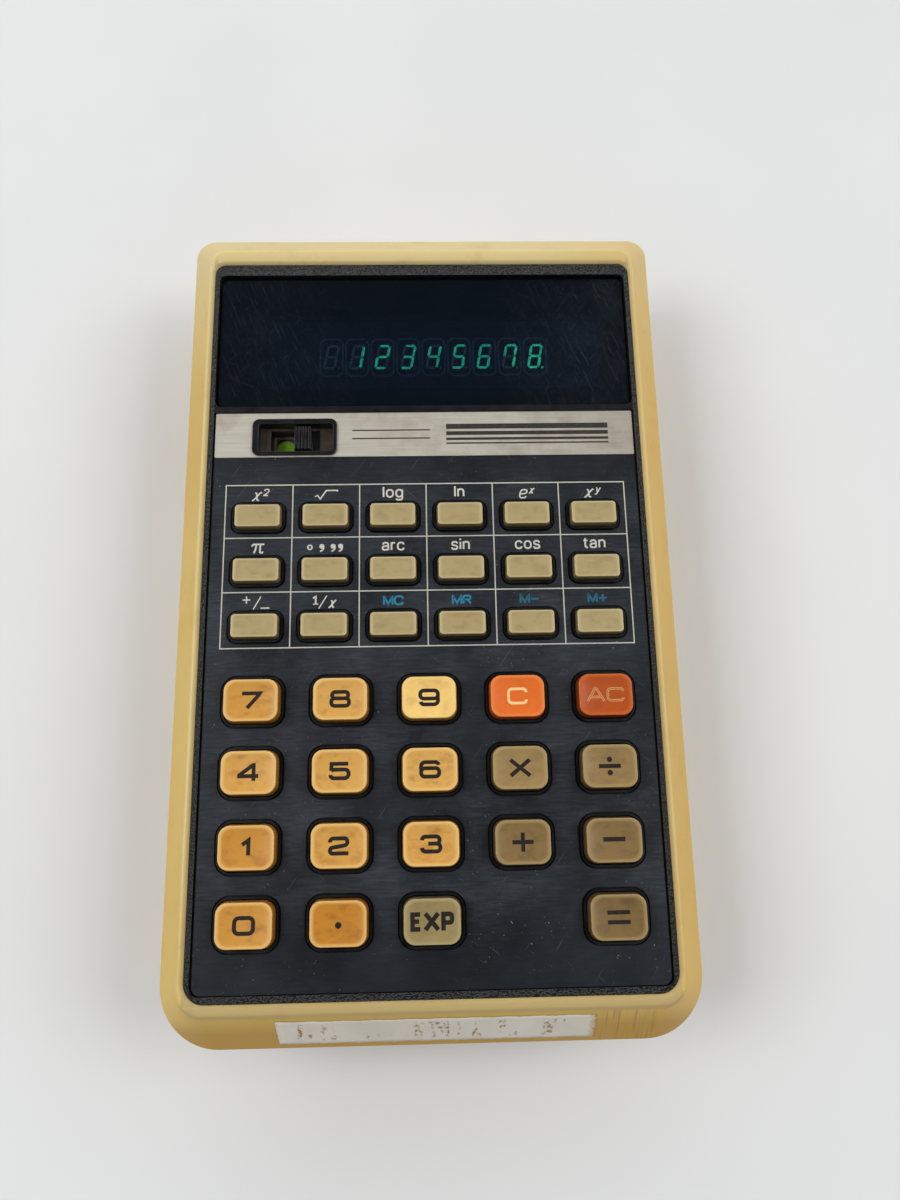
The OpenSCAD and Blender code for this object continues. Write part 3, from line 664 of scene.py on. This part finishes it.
def ribbon(path, width, closed):
    """Left and right edge of a line of print, mitred at its bends."""
    n = len(path)
    left, right = [], []
    for i, (x, y) in enumerate(path):
        before = path[i - 1] if closed or i else None
        after = path[(i + 1) % n] if closed or i < n - 1 else None
        normals = []
        for a, b in ((before, (x, y)), ((x, y), after)):
            if a and b:
                length = hypot(b[0] - a[0], b[1] - a[1]) or 1
                normals.append(((a[1] - b[1]) / length, (b[0] - a[0]) / length))
        nx, ny = sum(v[0] for v in normals) / len(normals), sum(v[1] for v in normals) / len(normals)
        size = max(nx * nx + ny * ny, 0.2)
        nx, ny = nx / size * width / 2, ny / size * width / 2
        left.append((x + nx, y + ny))
        right.append((x - nx, y - ny))
    return left, right


def print_piece(name, strokes, mat, body, height, slot=None, facing=1):
    """Strokes as a thin film of ink on a surface whose height is a number or a function of place."""
    surface = height if callable(height) else lambda x, y: height
    verts, faces = [], []
    for order, stroke in enumerate(strokes):
        lift = facing * (0.012 + 0.003 * order)
        path = stroke.path()
        left, right = ribbon(path, stroke.width, stroke.closed)
        base, n = len(verts), len(left)
        for edge in (left, right):
            verts += [(x, y, surface(x, y) + lift) for x, y in edge]
        for k in range(n if stroke.closed else n - 1):
            face = (base + n + k, base + n + (k + 1) % n, base + (k + 1) % n, base + k)
            faces.append(face if facing > 0 else tuple(reversed(face)))
    return piece(name, verts, faces, mat, body, (), slot)


def dot(x, y, r):
    """Filled round dot, as a closed stroke that reaches its own centre."""
    return Stroke(circle(x, y, r / 2, 16), r, 0, True)


def strokes_of(glyph, width=None):
    """Strokes of a glyph, which is "bend radius: x y, x y, ..." for each line, with ";" between lines.

    After the radius may come the line's own width, and "loop" if it closes.
    """
    strokes = []
    for line in glyph.split(";"):
        head, places = line.split(":")
        bend, *own = head.replace("loop", "").split()
        points = [tuple(map(float, place.split())) for place in places.split(",")]
        strokes.append(Stroke(points, float(own[0]) if own else width, float(bend), "loop" in head))
    return strokes


# Wide, round-cornered figures in a cell 1 wide and 1 high
WIDE = {
    "0": ".3 loop: 0 0, 1 0, 1 1, 0 1",
    "1": "0: .28 .7, .62 1, .62 0",
    "2": ".24: .02 .74, .02 1, .96 1, .96 .56, .02 .36, .02 0, 1.02 0",
    "3": ".24: 0 .76, .02 1, .96 1, .96 .52, .34 .52; .26: .5 .52, 1 .52, 1 0, 0 0, 0 .26",
    "4": "0: 1.04 .26, 0 .26, 0 .34, .74 1.02, .78 1.02, .78 -.07",
    "5": "0: .98 1, .06 1, .04 .52; .27: .04 .52, .16 .6, 1 .6, 1 0, 0 0, 0 .24",
    "6": ".28: .97 .8, .95 1, 0 1, 0 .5; .26 loop: 0 0, 1 0, 1 .58, 0 .58",
    "7": "0: 0 1, 1 1, .92 .84, .3 -.05",
    "8": ".22 loop: .05 .54, .95 .54, .95 1, .05 1; .25 loop: 0 0, 1 0, 1 .54, 0 .54",
    "9": ".26 loop: 0 .42, 1 .42, 1 1, 0 1; .28: 1 .5, 1 0, .05 0, .03 .2",
    "C": ".27: .98 .76, .98 1, 0 1, 0 0, .98 0, .98 .24",
    "A": "0: -.02 -.06, .44 1, .56 1, 1.02 -.06; 0: .2 .3, .8 .3",
    "E": "0: 1 1, 0 1, 0 0, 1 0; 0: 0 .52, .85 .52",
    "X": "0: 0 -.06, 1 1.06; 0: 0 1.06, 1 -.06",
    "P": ".3: 0 -.12, 0 1, 1 1, 1 .42, 0 .42; 0: 0 .8, 0 1, .2 1",
}

# Small letters and signs of the function legends, where small letters are 1 high: (width, lines)
SMALL = {
    "l": (0, "0: 0 0, 0 1.42"),
    "o": (.92, ".45 loop: 0 0, .92 0, .92 1, 0 1"),
    "g": (.9, ".44 loop: 0 .02, .9 .02, .9 1, 0 1; .3: .9 1.02, .9 -.4, .06 -.4, .04 -.22"),
    "n": (.8, "0: 0 0, 0 1.05; .36: 0 .45, 0 1, .8 1, .8 0"),
    "a": (.84, ".3: .05 .72, .05 1, .82 1, .82 .1, .9 0; .24: .82 .56, 0 .5, 0 0, .82 .04"),
    "r": (.46, "0: 0 0, 0 1.05; .34: 0 .5, 0 1, .5 .98"),
    "c": (.86, ".43: .86 .72, .86 1, 0 1, 0 0, .86 0, .86 .28"),
    "s": (.78, ".24: .76 .76, .74 1, .04 1, .04 .56, .78 .44, .78 0, 0 0, 0 .25"),
    "i": (0, "0: 0 0, 0 1; 0: 0 1.22, 0 1.46"),
    "t": (.5, ".24: .2 1.32, .2 0, .56 .02; 0: -.04 .98, .54 .98"),
    "M": (1.55, "0: 0 -.05, 0 1.32, .78 .1, 1.55 1.32, 1.55 -.05"),
    "C": (1.5, ".6: 1.5 .92, 1.46 1.34, 0 1.34, 0 -.02, 1.46 -.02, 1.5 .4"),
    "R": (1.32, ".32: 0 -.05, 0 1.3, 1.26 1.3, 1.26 .64, 0 .64; 0: .75 .64, 1.32 -.05"),
    "-": (1.4, "0: 0 .6, 1.4 .6"),
    "+": (1.4, "0: 0 .62, 1.4 .62; 0: .7 0, .7 1.24"),
    "1": (.35, "0: .02 1.1, .35 1.34, .35 0"),
    "2": (.85, ".36: .02 1, .04 1.36, .84 1.36, .84 .8, .02 .06; 0: -.06 .08, .9 .08"),
    "/": (.55, "0: 0 -.2, .7 1.42"),
    "x": (.85, ".08: -.08 .06, .06 0, .72 1, .86 .92; .12: .08 .9, .24 1, .5 0, .72 .08"),
    "y": (.8, ".08: .02 .92, .16 1, .4 .08; .16: .86 1, .3 -.32, -.02 -.36"),
    "e": (.78, ".36: .08 .46, .78 .6, .74 1, .02 1, -.02 0, .62 0, .76 .2"),
    "p": (.95, ".12: 0 .8, .1 .98, 1 .98; 0: .38 .98, .22 0; .1: .74 .98, .66 .04, .86 .06"),
    "v": (2.3, "0: -.1 .48, .12 .64, .44 -.12, .98 1.2, 2.1 1.2"),
}


def write(text, height, width, tracking=0.42, slant=0.0, narrow=0.9):
    """Strokes of a small legend, centred across x = 0, with small letters of that height."""
    strokes, x = [], 0.0
    across = height * narrow
    for letter in text:
        advance, glyph = SMALL[letter]
        for stroke in strokes_of(glyph, width):
            strokes.append(stroke.moved(x * across, 0, across, height, slant))
        x += advance + tracking
    middle = (x - tracking) * across / 2
    return [s.moved(-middle, 0) for s in strokes]


def place_strokes(strokes, x, y):
    return [s.moved(x, y) for s in strokes]


def italic(base, power):
    """A slanted letter with a small slanted power to its upper right."""
    main = [s.moved(-0.5, -0.4) for s in write(base, 1.45, 0.24, slant=0.22, narrow=1.0)]
    return main + [s.moved(1.02, 0.42) for s in write(power, 0.86, 0.2, slant=0.22, narrow=1.0)]


def curl(x, y, size):
    """One raised comma: a dot and its tail."""
    tail = [(x + size * dx, y + size * dy) for dx, dy in ((0.7, 0.1), (0.62, -1.4), (-0.7, -2.1))]
    return [dot(x, y, size), Stroke(tail, size * 0.6, size * 1.2)]


def degrees_legend():
    """Raised ring, one comma and a pair of commas."""
    strokes = [Stroke(circle(-2.6, 0.6, 0.36, 16), 0.24, 0, True)]
    for x in (-0.62, 1.25, 2.48):
        strokes += curl(x, 0.75, 0.42)
    return strokes


# --- Keys ---

# Sizes of the two kinds: how much wider and longer the flange is, corner radius, draft of the sides,
# width of the soft edge (painted lighter for wear and highlight), depth of the hollow, and radius of the rubber
# dome underneath
NUMBER = dict(flange=(1.65, 1.65), r=1.9, draft=0.2, edge=0.17, dish=0.3, dome=2.6)
FUNCTION = dict(flange=(1.35, 1.4), r=0.75, draft=0.18, edge=0.13, dish=0.07, dome=2.0)
KEYS = [n for n in frame["nodes"] if n.startswith("key_") and n not in ("key_panel", "key_board")]
CELL_TOP = 5.82  # from the middle of a function key up to the rule above it


def key_form(node):
    lo, hi = box_mm(node)
    return NUMBER if hi.x - lo.x > 10 else FUNCTION



def key_size(node, form):
    """Centre and half size of the key's body, and its lowest and highest point, from its CAD box."""
    lo, hi = box_mm(node)
    centre = (lo + hi) / 2
    half_w = (hi.x - lo.x - form["flange"][0]) / 2
    half_l = (hi.y - lo.y - form["flange"][1]) / 2
    return centre, half_w, half_l, lo.z, hi.z


def dish_height(node, form):
    """Height of the key's hollow top as a function of place."""
    centre, half_w, half_l, _, top = key_size(node, form)
    in_w, in_l = half_w - form["draft"] - form["edge"], half_l - form["draft"] - form["edge"]

    def height(x, y):
        u = min(1.0, abs(x - centre.x) / in_w)
        v = min(1.0, abs(y - centre.y) / in_l)
        return top - 0.015 - form["dish"] * ((1 - u**2.6) * (1 - v**2.6)) ** 0.9

    return height


def build_key(node, form, mat, slot, shade):
    """Key with its flange, drafted sides, soft edge and hollow top. shade from 0 to 1 darkens it."""
    centre, half_w, half_l, low, top = key_size(node, form)
    height = dish_height(node, form)
    r, draft, edge = form["r"], form["draft"], form["edge"]
    grow_w, grow_l = form["flange"][0] / 2, form["flange"][1] / 2
    panel = box_mm("key_panel")[1].z

    def ring(dw, dl, radius, z):
        points = outline(half_w - dw, dl - half_l, half_l - dl, radius, radius, 7, 7)
        return [(centre.x + x, centre.y + y, z) for x, y in points]

    # worn marks the edge that key_plastic paints lighter (wear and painted highlight); side marks the sides it
    # paints darker as painted shade
    rings, worn, side = [], [], []

    def add(points, edge_value, side_value):
        rings.append(points)
        worn.extend([edge_value] * len(points))
        side.extend([side_value] * len(points))

    add(ring(-grow_w, -grow_l, r, low), 0, 1)
    add(ring(-grow_w, -grow_l, r, low + 0.85), 0, 1)
    add(ring(0, 0, r, low + 0.85), 0, 1)
    add(ring(0, 0, r, panel + 0.1), 0, 1)
    shoulder = rounded_edge((draft, top - edge * 1.2), (draft + 0.02, top - 0.02), (draft + edge, top), 6)
    for i, (d, z) in enumerate(shoulder):
        add(ring(d, d, r - d * 0.8, z), min(1.0, i / 4), 0.7 * (1 - i / 6))
    in_w, in_l = half_w - draft - edge, half_l - draft - edge
    inner_r = r - (draft + edge) * 0.8
    loops = 9
    for k in range(1, loops):
        s = 1 - (k / loops) ** 0.9
        flat = [(x * s, y * s) for x, y in outline(in_w, -in_l, in_l, inner_r, inner_r, 7, 7)]
        points = [(centre.x + x, centre.y + y, height(centre.x + x, centre.y + y)) for x, y in flat]
        add(points, 0.12 if k == 1 else 0, 0)
    verts, faces = loft(rings, cap_start=True, cap_end=True)
    looks = {"edge": worn, "side": side, "shade": [shade] * len(verts)}
    piece(node + "_cap", verts, faces, mat, node, [node], slot, sharp=60, attributes=looks)


def figure(text, widths, height, weight, gap=0.0):
    """Strokes of wide figures side by side, centred on 0, 0. widths is one width for each figure."""
    strokes = []
    x = -(sum(widths) + (len(text) - 1) * gap) / 2
    for letter, width in zip(text, widths):
        for stroke in strokes_of(WIDE[letter], weight):
            foot = (weight - height) / 2
            strokes.append(stroke.moved(x + weight / 2, foot, width - weight, height - weight))
        x += width + gap
    return strokes


def bar(x0, y0, x1, y1, width):
    return Stroke([(x0, y0), (x1, y1)], width)


# Legends that are signs, in millimetres, each line with its own width
SIGNS = {
    "plus": "0 .62: -1.62 0, 1.62 0; 0 .6: 0 -1.42, 0 1.42",
    "minus": "0 .68: -1.7 .15, 1.7 .15",
    "equals": "0 .6: -1.72 .7, 1.72 .7; 0 .6: -1.72 -.7, 1.72 -.7",
    "multiply": "0 .62: -1.5 -1.22, 1.5 1.22; 0 .6: -1.5 1.22, 1.5 -1.22",
    "divide": "0 .64: -1.72 0, 1.72 0",
    "root": "0 .2: -1.9 .2, -1.42 .42, -1.02 -.28; 0 .24: -1.06 -.32, 0 1.28, 1.85 1.28, 1.85 1.06",
    "pi": ".3 .3: -1 .85, -.78 1.22, 1.06 1.22; .4 .3: -.22 1.2, -.42 .2, -.66 -.3; "
          ".2 .28: .42 1.2, .34 -.22, .72 -.26, .86 -.02",
    "sign": "0 .22: -2.2 1.05, -.95 1.05; 0 .22: -1.57 .45, -1.57 1.65; "
            "0 .2: -.45 -.55, .75 1.6; 0 .22: .75 -.35, 2.2 -.35",
    "reciprocal": "0 .28: -1.95 1.2, -1.5 1.5, -1.5 .2; 0 .16: -1.95 .2, -1.05 .2; 0 .2: -1 -.55, .3 1.6",
}
DOTS = {"point": ((0, -0.25, 0.48),), "divide": ((0, 1.02, 0.42), (0, -1.02, 0.42))}
# Wide figures: (text, widths, height, stroke width, gap)
FIGURES = {
    "exponent": ("EXP", (1.8, 2.6, 1.95), 2.75, 0.66, 0.1),
    "clear": ("C", (3.3,), 2.7, 0.44),
    "all_clear": ("AC", (2.95, 2.85), 2.25, 0.38, 0.25),
}
# Small words: (text, height of its small letters, stroke width, space between letters)
WORDS = {word: (word, 1.28, 0.29, 0.46) for word in ("log", "ln")}
WORDS.update({word: (word, 1.26, 0.29, 0.46) for word in ("arc", "sin", "cos", "tan")})
MEMORY = {"memory_clear": "MC", "memory_recall": "MR", "memory_minus": "M-", "memory_plus": "M+"}
WORDS.update({name: (word, 1.0, 0.33, 0.4) for name, word in MEMORY.items()})
POWERS = {"square": "x2", "exp_e": "ex", "power": "xy"}


def legend(name):
    """Strokes of a key's legend. Words stand on y = 0, and the rest is centred on 0, 0."""
    if name == "reciprocal":
        return strokes_of(SIGNS[name]) + place_strokes(write("x", 1.2, 0.26, slant=0.2), 1.15, -0.4)
    if name in SIGNS or name in DOTS:
        lines = strokes_of(SIGNS[name]) if name in SIGNS else []
        return lines + [dot(*spot) for spot in DOTS.get(name, ())]
    if name in WORDS:
        return write(*WORDS[name])
    if name in POWERS:
        return italic(*POWERS[name])
    if name == "degrees":
        return degrees_legend()
    return figure(*FIGURES.get(name, (name, (3.4,), 2.8, 0.6)))


# How much darker each number key has gone than the cleanest one
KEY_SHADE = {
    "key_7": 0.76, "key_8": 0.58, "key_9": 0.0, "key_4": 0.62, "key_5": 0.6, "key_6": 0.52,
    "key_1": 0.85, "key_2": 0.66, "key_3": 0.62, "key_0": 0.8, "key_point": 0.95,
    "key_multiply": 0.1, "key_divide": 0.3, "key_plus": 0.6, "key_minus": 0.6, "key_equals": 0.75,
}


def build_keys():
    colours = {
        "key_amber": ("F4CE7C", "BC7A1E", "F0CC84", "8A5416"),
        "key_ochre": ("A08656", "6C522E", "B09866", "54401F"),
        "key_sand": ("B3A174", "88764E", "CCBA8C", "74603A"),
        "key_exponent_sand": ("9C8A5C", "74623C", "B2A478", "665632"),
        "key_orange": ("E4722A", "CC5614", "F08E48", "BC5416"),
        "key_red": ("B85016", "8E3C0C", "D06C2E", "74340F"),
    }
    plastics = {name: key_plastic(name, *codes) for name, codes in colours.items()}
    slots = {m["node"]: m["material_slot"] for m in frame["record"]["subparts"]}
    dark, off_white = ink("ink_dark", "1C1410", "4A3418"), ink("ink_white", "C9C6BA", "8E8C84")
    blue, faded_blue = ink("ink_blue", "297A9A", "265064"), ink("ink_blue_faded", "23637C", "1E4152", 0.6)
    worn_ink = ink("ink_worn", "B8622A", "A85420", 0.6)
    inks = {
        "clear": ink("ink_pale", "EFC98E", "E0954E", 0.6),
        "all_clear": ink("ink_faded", "CF9C66", "B4602C", 0.6),
        "memory_clear": blue, "memory_recall": blue, "memory_minus": faded_blue, "memory_plus": faded_blue,
    }
    panel = box_mm("key_panel")[1].z
    baseline = CELL_TOP - 2.32
    for node in KEYS:
        name, form, slot = node[len("key_"):], key_form(node), slots[node]
        centre = key_size(node, form)[0]
        plastic = plastics["key_exponent_sand" if name == "exponent" else slot]
        build_key(node, form, plastic, slot, KEY_SHADE.get(node, 0.15))
        if form is FUNCTION:
            strokes = place_strokes(legend(name), centre.x, centre.y + baseline)
            print_piece(node + "_legend", strokes, inks.get(name, off_white), "case", panel, "panel_blue_black")
            continue
        strokes, hollow = place_strokes(legend(name), centre.x, centre.y), dish_height(node, form)
        print_piece(node + "_legend", strokes, inks.get(name, dark), node, hollow, slot)
        if name == "all_clear":
            # the middle of each stroke is rubbed through
            rubbed = [s.moved(0, 0, width=0.42 * s.width) for s in strokes]
            print_piece(node + "_legend_wear", rubbed, worn_ink, node, lambda x, y: hollow(x, y) + 0.015, slot)


def build_grid(mat):
    """Printed grid of six by three cells round the function keys."""
    surface = box_mm("key_panel")[1].z
    first, last = box_mm("key_square"), box_mm("key_memory_plus")
    pitch_x = (last[0].x - first[0].x) / 5
    pitch_y = (first[0].y - last[0].y) / 2
    x0 = (first[0].x + first[1].x) / 2 - pitch_x / 2
    y0 = (first[0].y + first[1].y) / 2 + CELL_TOP
    x1, y1, half = x0 + 6 * pitch_x, y0 - 3 * pitch_y, 0.1
    strokes = []
    for y in [y0 - j * pitch_y for j in range(4)]:
        strokes.append(bar(x0 - half, y, x1 + half, y, 2 * half))
    for x in [x0 + i * pitch_x for i in range(7)]:
        strokes.append(bar(x, y0, x, y1, 2 * half))
    print_piece("panel_grid", strokes, mat, "case", surface, "panel_blue_black")


def build_contact_mat(mat):
    """Rubber sheet on the key board, with a hollow dome under each key."""
    lo, hi = box_mm("contact_mat")
    base = lo.z + 0.5
    plan = outline(hi.x, lo.y, hi.y, 13, 1.5)
    verts, faces = loft([at(plan, lo.z), at(plan, base)], cap_start=True, cap_end=True)
    piece("contact_sheet", verts, faces, mat, "case", ["contact_mat"], "mat_rubber")
    for node in KEYS:
        key_lo, key_hi = box_mm(node)
        centre = (key_lo + key_hi) / 2
        r = key_form(node)["dome"]
        inside = [(0.5 * r, hi.z - 0.6), (0.8 * r, base)]
        outside = [(r, base), (r, base + 0.15), (0.75 * r, hi.z - 0.12), (0.7 * r, hi.z)]
        rings = [at(circle(centre.x, centre.y, q, 32), z) for q, z in inside + outside]
        verts, faces = loft(rings, cap_start=True, cap_end=True)
        dome = piece(node + "_dome", verts, faces, mat, "case", (), "mat_rubber")
        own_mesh(dome)


# --- Display ---

# Lit bars of the nine characters, the first of which is dark. Bars a to g run clockwise from the top.
LIT = ("", "bc", "abged", "abgcd", "fgbc", "afgcd", "afgedc", "fabc", "abcdefg")
LEAN = tan(radians(10))


def segment(letter, half_w, half_h, thick, gap):
    """Six corners of one bar of a figure, upright, about 0, 0."""
    t = thick / 2
    if letter in "agd":
        y = {"a": half_h - t, "g": 0, "d": t - half_h}[letter]
        x = half_w - t - gap
        return [(-x, y), (t - x, y + t), (x - t, y + t), (x, y), (x - t, y - t), (t - x, y - t)]
    x = half_w - t if letter in "bc" else t - half_w
    y0, y1 = (gap, half_h - t - gap) if letter in "bf" else (t + gap - half_h, -gap)
    return [(x, y0), (x + t, y0 + t), (x + t, y1 - t), (x, y1), (x - t, y1 - t), (x - t, y0 + t)]


def build_display():
    """Anode plate with nine faint characters behind grids, eight of them lit, and the last one's point."""
    lit = glow("display_lit", "2EBA7C", 8.6)
    # the dark characters, the grids and the plate glow as well: painted light standing in for the room light
    # they would reflect
    unlit = glow("display_unlit", "344C4A", 4.0)
    grid = glow("display_grid", "2C4048", 3.4)
    plate = glow("display_plate", "0E1A28", 1.6)
    lo, hi = box_mm("display_anodes")
    cx, cy = (lo.x + hi.x) / 2, (lo.y + hi.y) / 2
    ends = outline((hi.x - lo.x) / 2, lo.y, hi.y, 1.5, 1.5, 8)
    level = hi.z - 0.1
    shell = [[(x + cx, y, z) for x, y in ends] for z in (lo.z, level)]
    verts, faces = loft(shell, cap_start=True, cap_end=True)
    piece("display_plate", verts, faces, plate, "case", ["display_anodes"], "anode_plate")
    pitch, first = 4.57, -16.57
    parts = {"lit": ([], []), "unlit": ([], [])}
    frames = []

    def add(kind, corners, x):
        verts, faces = parts[kind]
        base = len(verts)
        verts += [(x + px + py * LEAN, cy + 0.08 + py, level + 0.09) for px, py in corners]
        faces.append(tuple(reversed(range(base, base + len(corners)))))

    for i in range(9):
        x = first + i * pitch
        for letter in "abcdefg":
            kind = "lit" if letter in LIT[i] else "unlit"
            add(kind, segment(letter, 1.14, 2.4, 0.46, 0.04), x)
        add("lit" if i == 8 else "unlit", circle(1.62, -2.2, 0.22, 10), x)
        corners = [(-2.0, -2.9), (-1.3, -3.6), (1.3, -3.6), (2.0, -2.9)]
        corners += [(-px, -py) for px, py in corners]
        frames.append(Stroke([(x + px, cy + py) for px, py in corners], 0.3, 0.4, True))
    for kind, mat in (("lit", lit), ("unlit", unlit)):
        verts, faces = parts[kind]
        piece("display_" + kind, verts, faces, mat, "case", (), "anode_plate")
    print_piece("display_grids", frames, grid, "case", level + 0.1, "anode_plate")


# --- Power switch ---


def build_switch_mark(green, pale, tan_mat):
    """Green mark with a round top and a pale rim, and a light border, on the floor under the slider."""
    floor_z = box_mm("switch_base")[1].z + 0.02 - 3.2
    foot, left, right = 26.0, -26.0, -22.8
    half = (right - left) / 2
    points = [(left, foot), (right, foot)]
    for k in range(15):
        a = pi * k / 14
        points.append((left + half + half * cos(a), foot + 1.75 + half * 0.98 * sin(a)))
    verts = [(x, y, floor_z + 0.01) for x, y in points]
    piece("switch_mark", verts, [tuple(range(len(verts)))], green, "case", (), "board_brown")
    rim = [Stroke(points[1:], 0.14)]
    print_piece("switch_mark_rim", rim, pale, "case", floor_z + 0.005, "board_brown")
    border = Stroke([(left - 0.35, foot - 0.4), (left - 0.35, 29.95), (right + 0.1, 29.95)], 0.46)
    print_piece("switch_border", [border], tan_mat, "case", floor_z, "board_brown")


# --- Band print ---


def build_band_print(mat):
    """Fine rules and graded stripes on the metal band, where a maker would print a name."""
    lo, hi = box_mm("trim_band")
    y = (lo.y + hi.y) / 2
    strokes = [bar(-12.5, y + 0.75, 0.8, y + 0.75, 0.22), bar(-12.5, y - 0.75, 0.8, y - 0.75, 0.22)]
    stripes = ((1.35, 0.95), (0.1, 0.7), (-0.95, 0.45), (-1.75, 0.25))
    strokes += [bar(3.6, y + rise, 31.5, y + rise, width) for rise, width in stripes]
    print_piece("band_print", strokes, mat, "case", hi.z, "brushed_metal")


# --- Everything in place ---

cream = case_plastic()
black_grain = black_plastic("bezel_black", True)
black_plain = black_plastic("switch_black", False)

build_upper_case(cream)
build_front_label(worn_label())
foil = plain("rating_foil", "B9B6AE", "A3A097", 6, (0.28, 0.42), 0.004, metal=0.7)
build_rating_label(foil, ink("rating_ink", "2A2A2C", "56544E"))
soften("lower_case", cream, 0.35, 30)
soften("battery_door", cream, 0.2, 40)
soften("case_screws", plain("screw_steel", "B8B4AA", "8E897E", 2, (0.28, 0.45), 0.01, metal=1.0), 0.1)
soften("dc_jack", black_plain, 0.15)

soften("bezel_frame", black_grain, 0.09)
soften("key_panel", panel_paint(), 0.05)
soften("trim_band", brushed_band(), 0.05)
soften("display_window", smoked_window(), 0.12)
soften("switch_surround", black_plain, 0.12)
soften("switch_base", plain("switch_floor", "483C33", "2E2620", 1.5), 0.05)
soften("power_slider", plain("slider_black", "101012", "08080A", 1.2, (0.25, 0.38), 0.004), 0.08)

build_keys()
build_grid(ink("ink_grid", "BDBBAF", "85837C"))
build_display()
pale, tan_ink = ink("switch_pale", "A9BE78", "7E9A4C"), ink("switch_border", "8A8178", "5A5048")
# the green mark glows faintly: painted light, it is no lamp
build_switch_mark(glow("switch_green", "84C21E", 0.1), pale, tan_ink)
build_band_print(ink("ink_band", "2E2C2A", "6A6052"))

soften("display_tube", clear_glass(), 0.1)
# the supports glow: painted light, they are no lamp
soften("display_supports", glow("support_brown", "5C4638", 2.2), 0.1)
soften("main_board", plain("board_green", "3F6038", "2C4A2A"), 0.05)
soften("key_board", plain("board_brown", "9A6A38", "7C5228"), 0.05)
build_contact_mat(plain("mat_rubber", "484A4E", "34363A"))
soften("logic_chips", plain("chip_black", "2B2B2F", "1E1E22"), 0.05)
soften("converter_parts", plain("coil_brown", "8A6430", "63471F"), 0.1)
soften("aa_cells", plain("cell_jacket", "9A8C66", "6E6346", 6, (0.25, 0.4), 0.005, metal=0.5), 0.2)
nickel = plain("contact_metal", "CFC9BA", "A8A294", 2, (0.2, 0.4), 0.005, metal=1.0)
soften("battery_contacts", nickel, 0.05)


# --- Floor, camera and light ---

ROOM_LIGHT = (0.38, 1.52)  # towards the key end, towards the display end


def build_floor():
    mesh = bpy.data.meshes.new("floor")
    half, low = 9.0, -0.0002
    corners = [(-half, -half, low), (half, -half, low), (half, half, low), (-half, half, low)]
    mesh.from_pydata(corners, [], [(0, 1, 2, 3)])
    m = Material("floor_white", Roughness=0.6)
    mesh.materials.append(m.done(m.mix(m.span(m.noise(60, 3), 0.3, 0.7), "E2E3E4", "DDDEDF")))
    floor = bpy.data.objects.new("floor", mesh)
    scene.collection.objects.link(floor)


def build_camera():
    """Camera at the photo's place: above the lower half of the keys and tilted towards the display."""
    turns = ((1.17, "Z"), (-13.9, "X"), (1.62, "Y"))
    yaw, pitch, roll = (Matrix.Rotation(radians(angle), 3, axis) for angle, axis in turns)
    data = bpy.data.cameras.new("camera")
    data.sensor_width = 36
    data.lens = 27.75
    data.clip_start = 0.005
    camera = bpy.data.objects.new("camera", data)
    place = Matrix.Translation((-0.0005, -0.03757, 0.17156))
    camera.matrix_world = place @ (yaw @ pitch @ roll).transposed().to_4x4()
    scene.collection.objects.link(camera)
    scene.camera = camera


def area_light(name, place, size, power):
    """Square soft light that faces the object."""
    data = bpy.data.lights.new(name, "AREA")
    data.size = size
    data.energy = power
    lamp = bpy.data.objects.new(name, data)
    lamp.location = place
    lamp.rotation_euler = (-Vector(place)).to_track_quat("-Z", "Y").to_euler()
    scene.collection.objects.link(lamp)


def build_sky():
    """Pale room, brighter towards the display end. A dim ceiling patch leaves glossy faces dark from above."""
    world = bpy.data.worlds.new("room")
    scene.world = world
    world.use_nodes = True
    sky = Nodes(world.node_tree)

    def fade(value, low, high, to_low, to_high):
        return sky.span(value, low, high, to_low, to_high, interpolation_type="SMOOTHSTEP")

    x, y, z = sky.node("SeparateXYZ", (0, sky.node("TexCoord", out="Generated"))).node.outputs
    patch = sky.times(fade(sky.math("ABSOLUTE", x, 0), 0.36, 0.6, 1, 0), fade(z, 0.3, 0.6, 0, 1))
    patch = sky.times(patch, sky.times(fade(y, -0.5, -0.3, 0, 1), fade(y, 0.62, 0.8, 1, 0)))
    lit = sky.math("SUBTRACT", 1.0, sky.times(patch, 0.94))
    background = world.node_tree.nodes["Background"]
    sky.feed(background.inputs["Strength"], sky.times(fade(y, -0.8, 0.8, *ROOM_LIGHT), lit))
    background.inputs["Color"].default_value = (1.0, 1.0, 0.99, 1)


build_floor()
build_camera()
build_sky()
area_light("left_light", (-0.7, 0.05, 0.8), 0.5, 3.9)
area_light("right_light", (0.75, 0.05, 0.8), 0.5, 3.4)
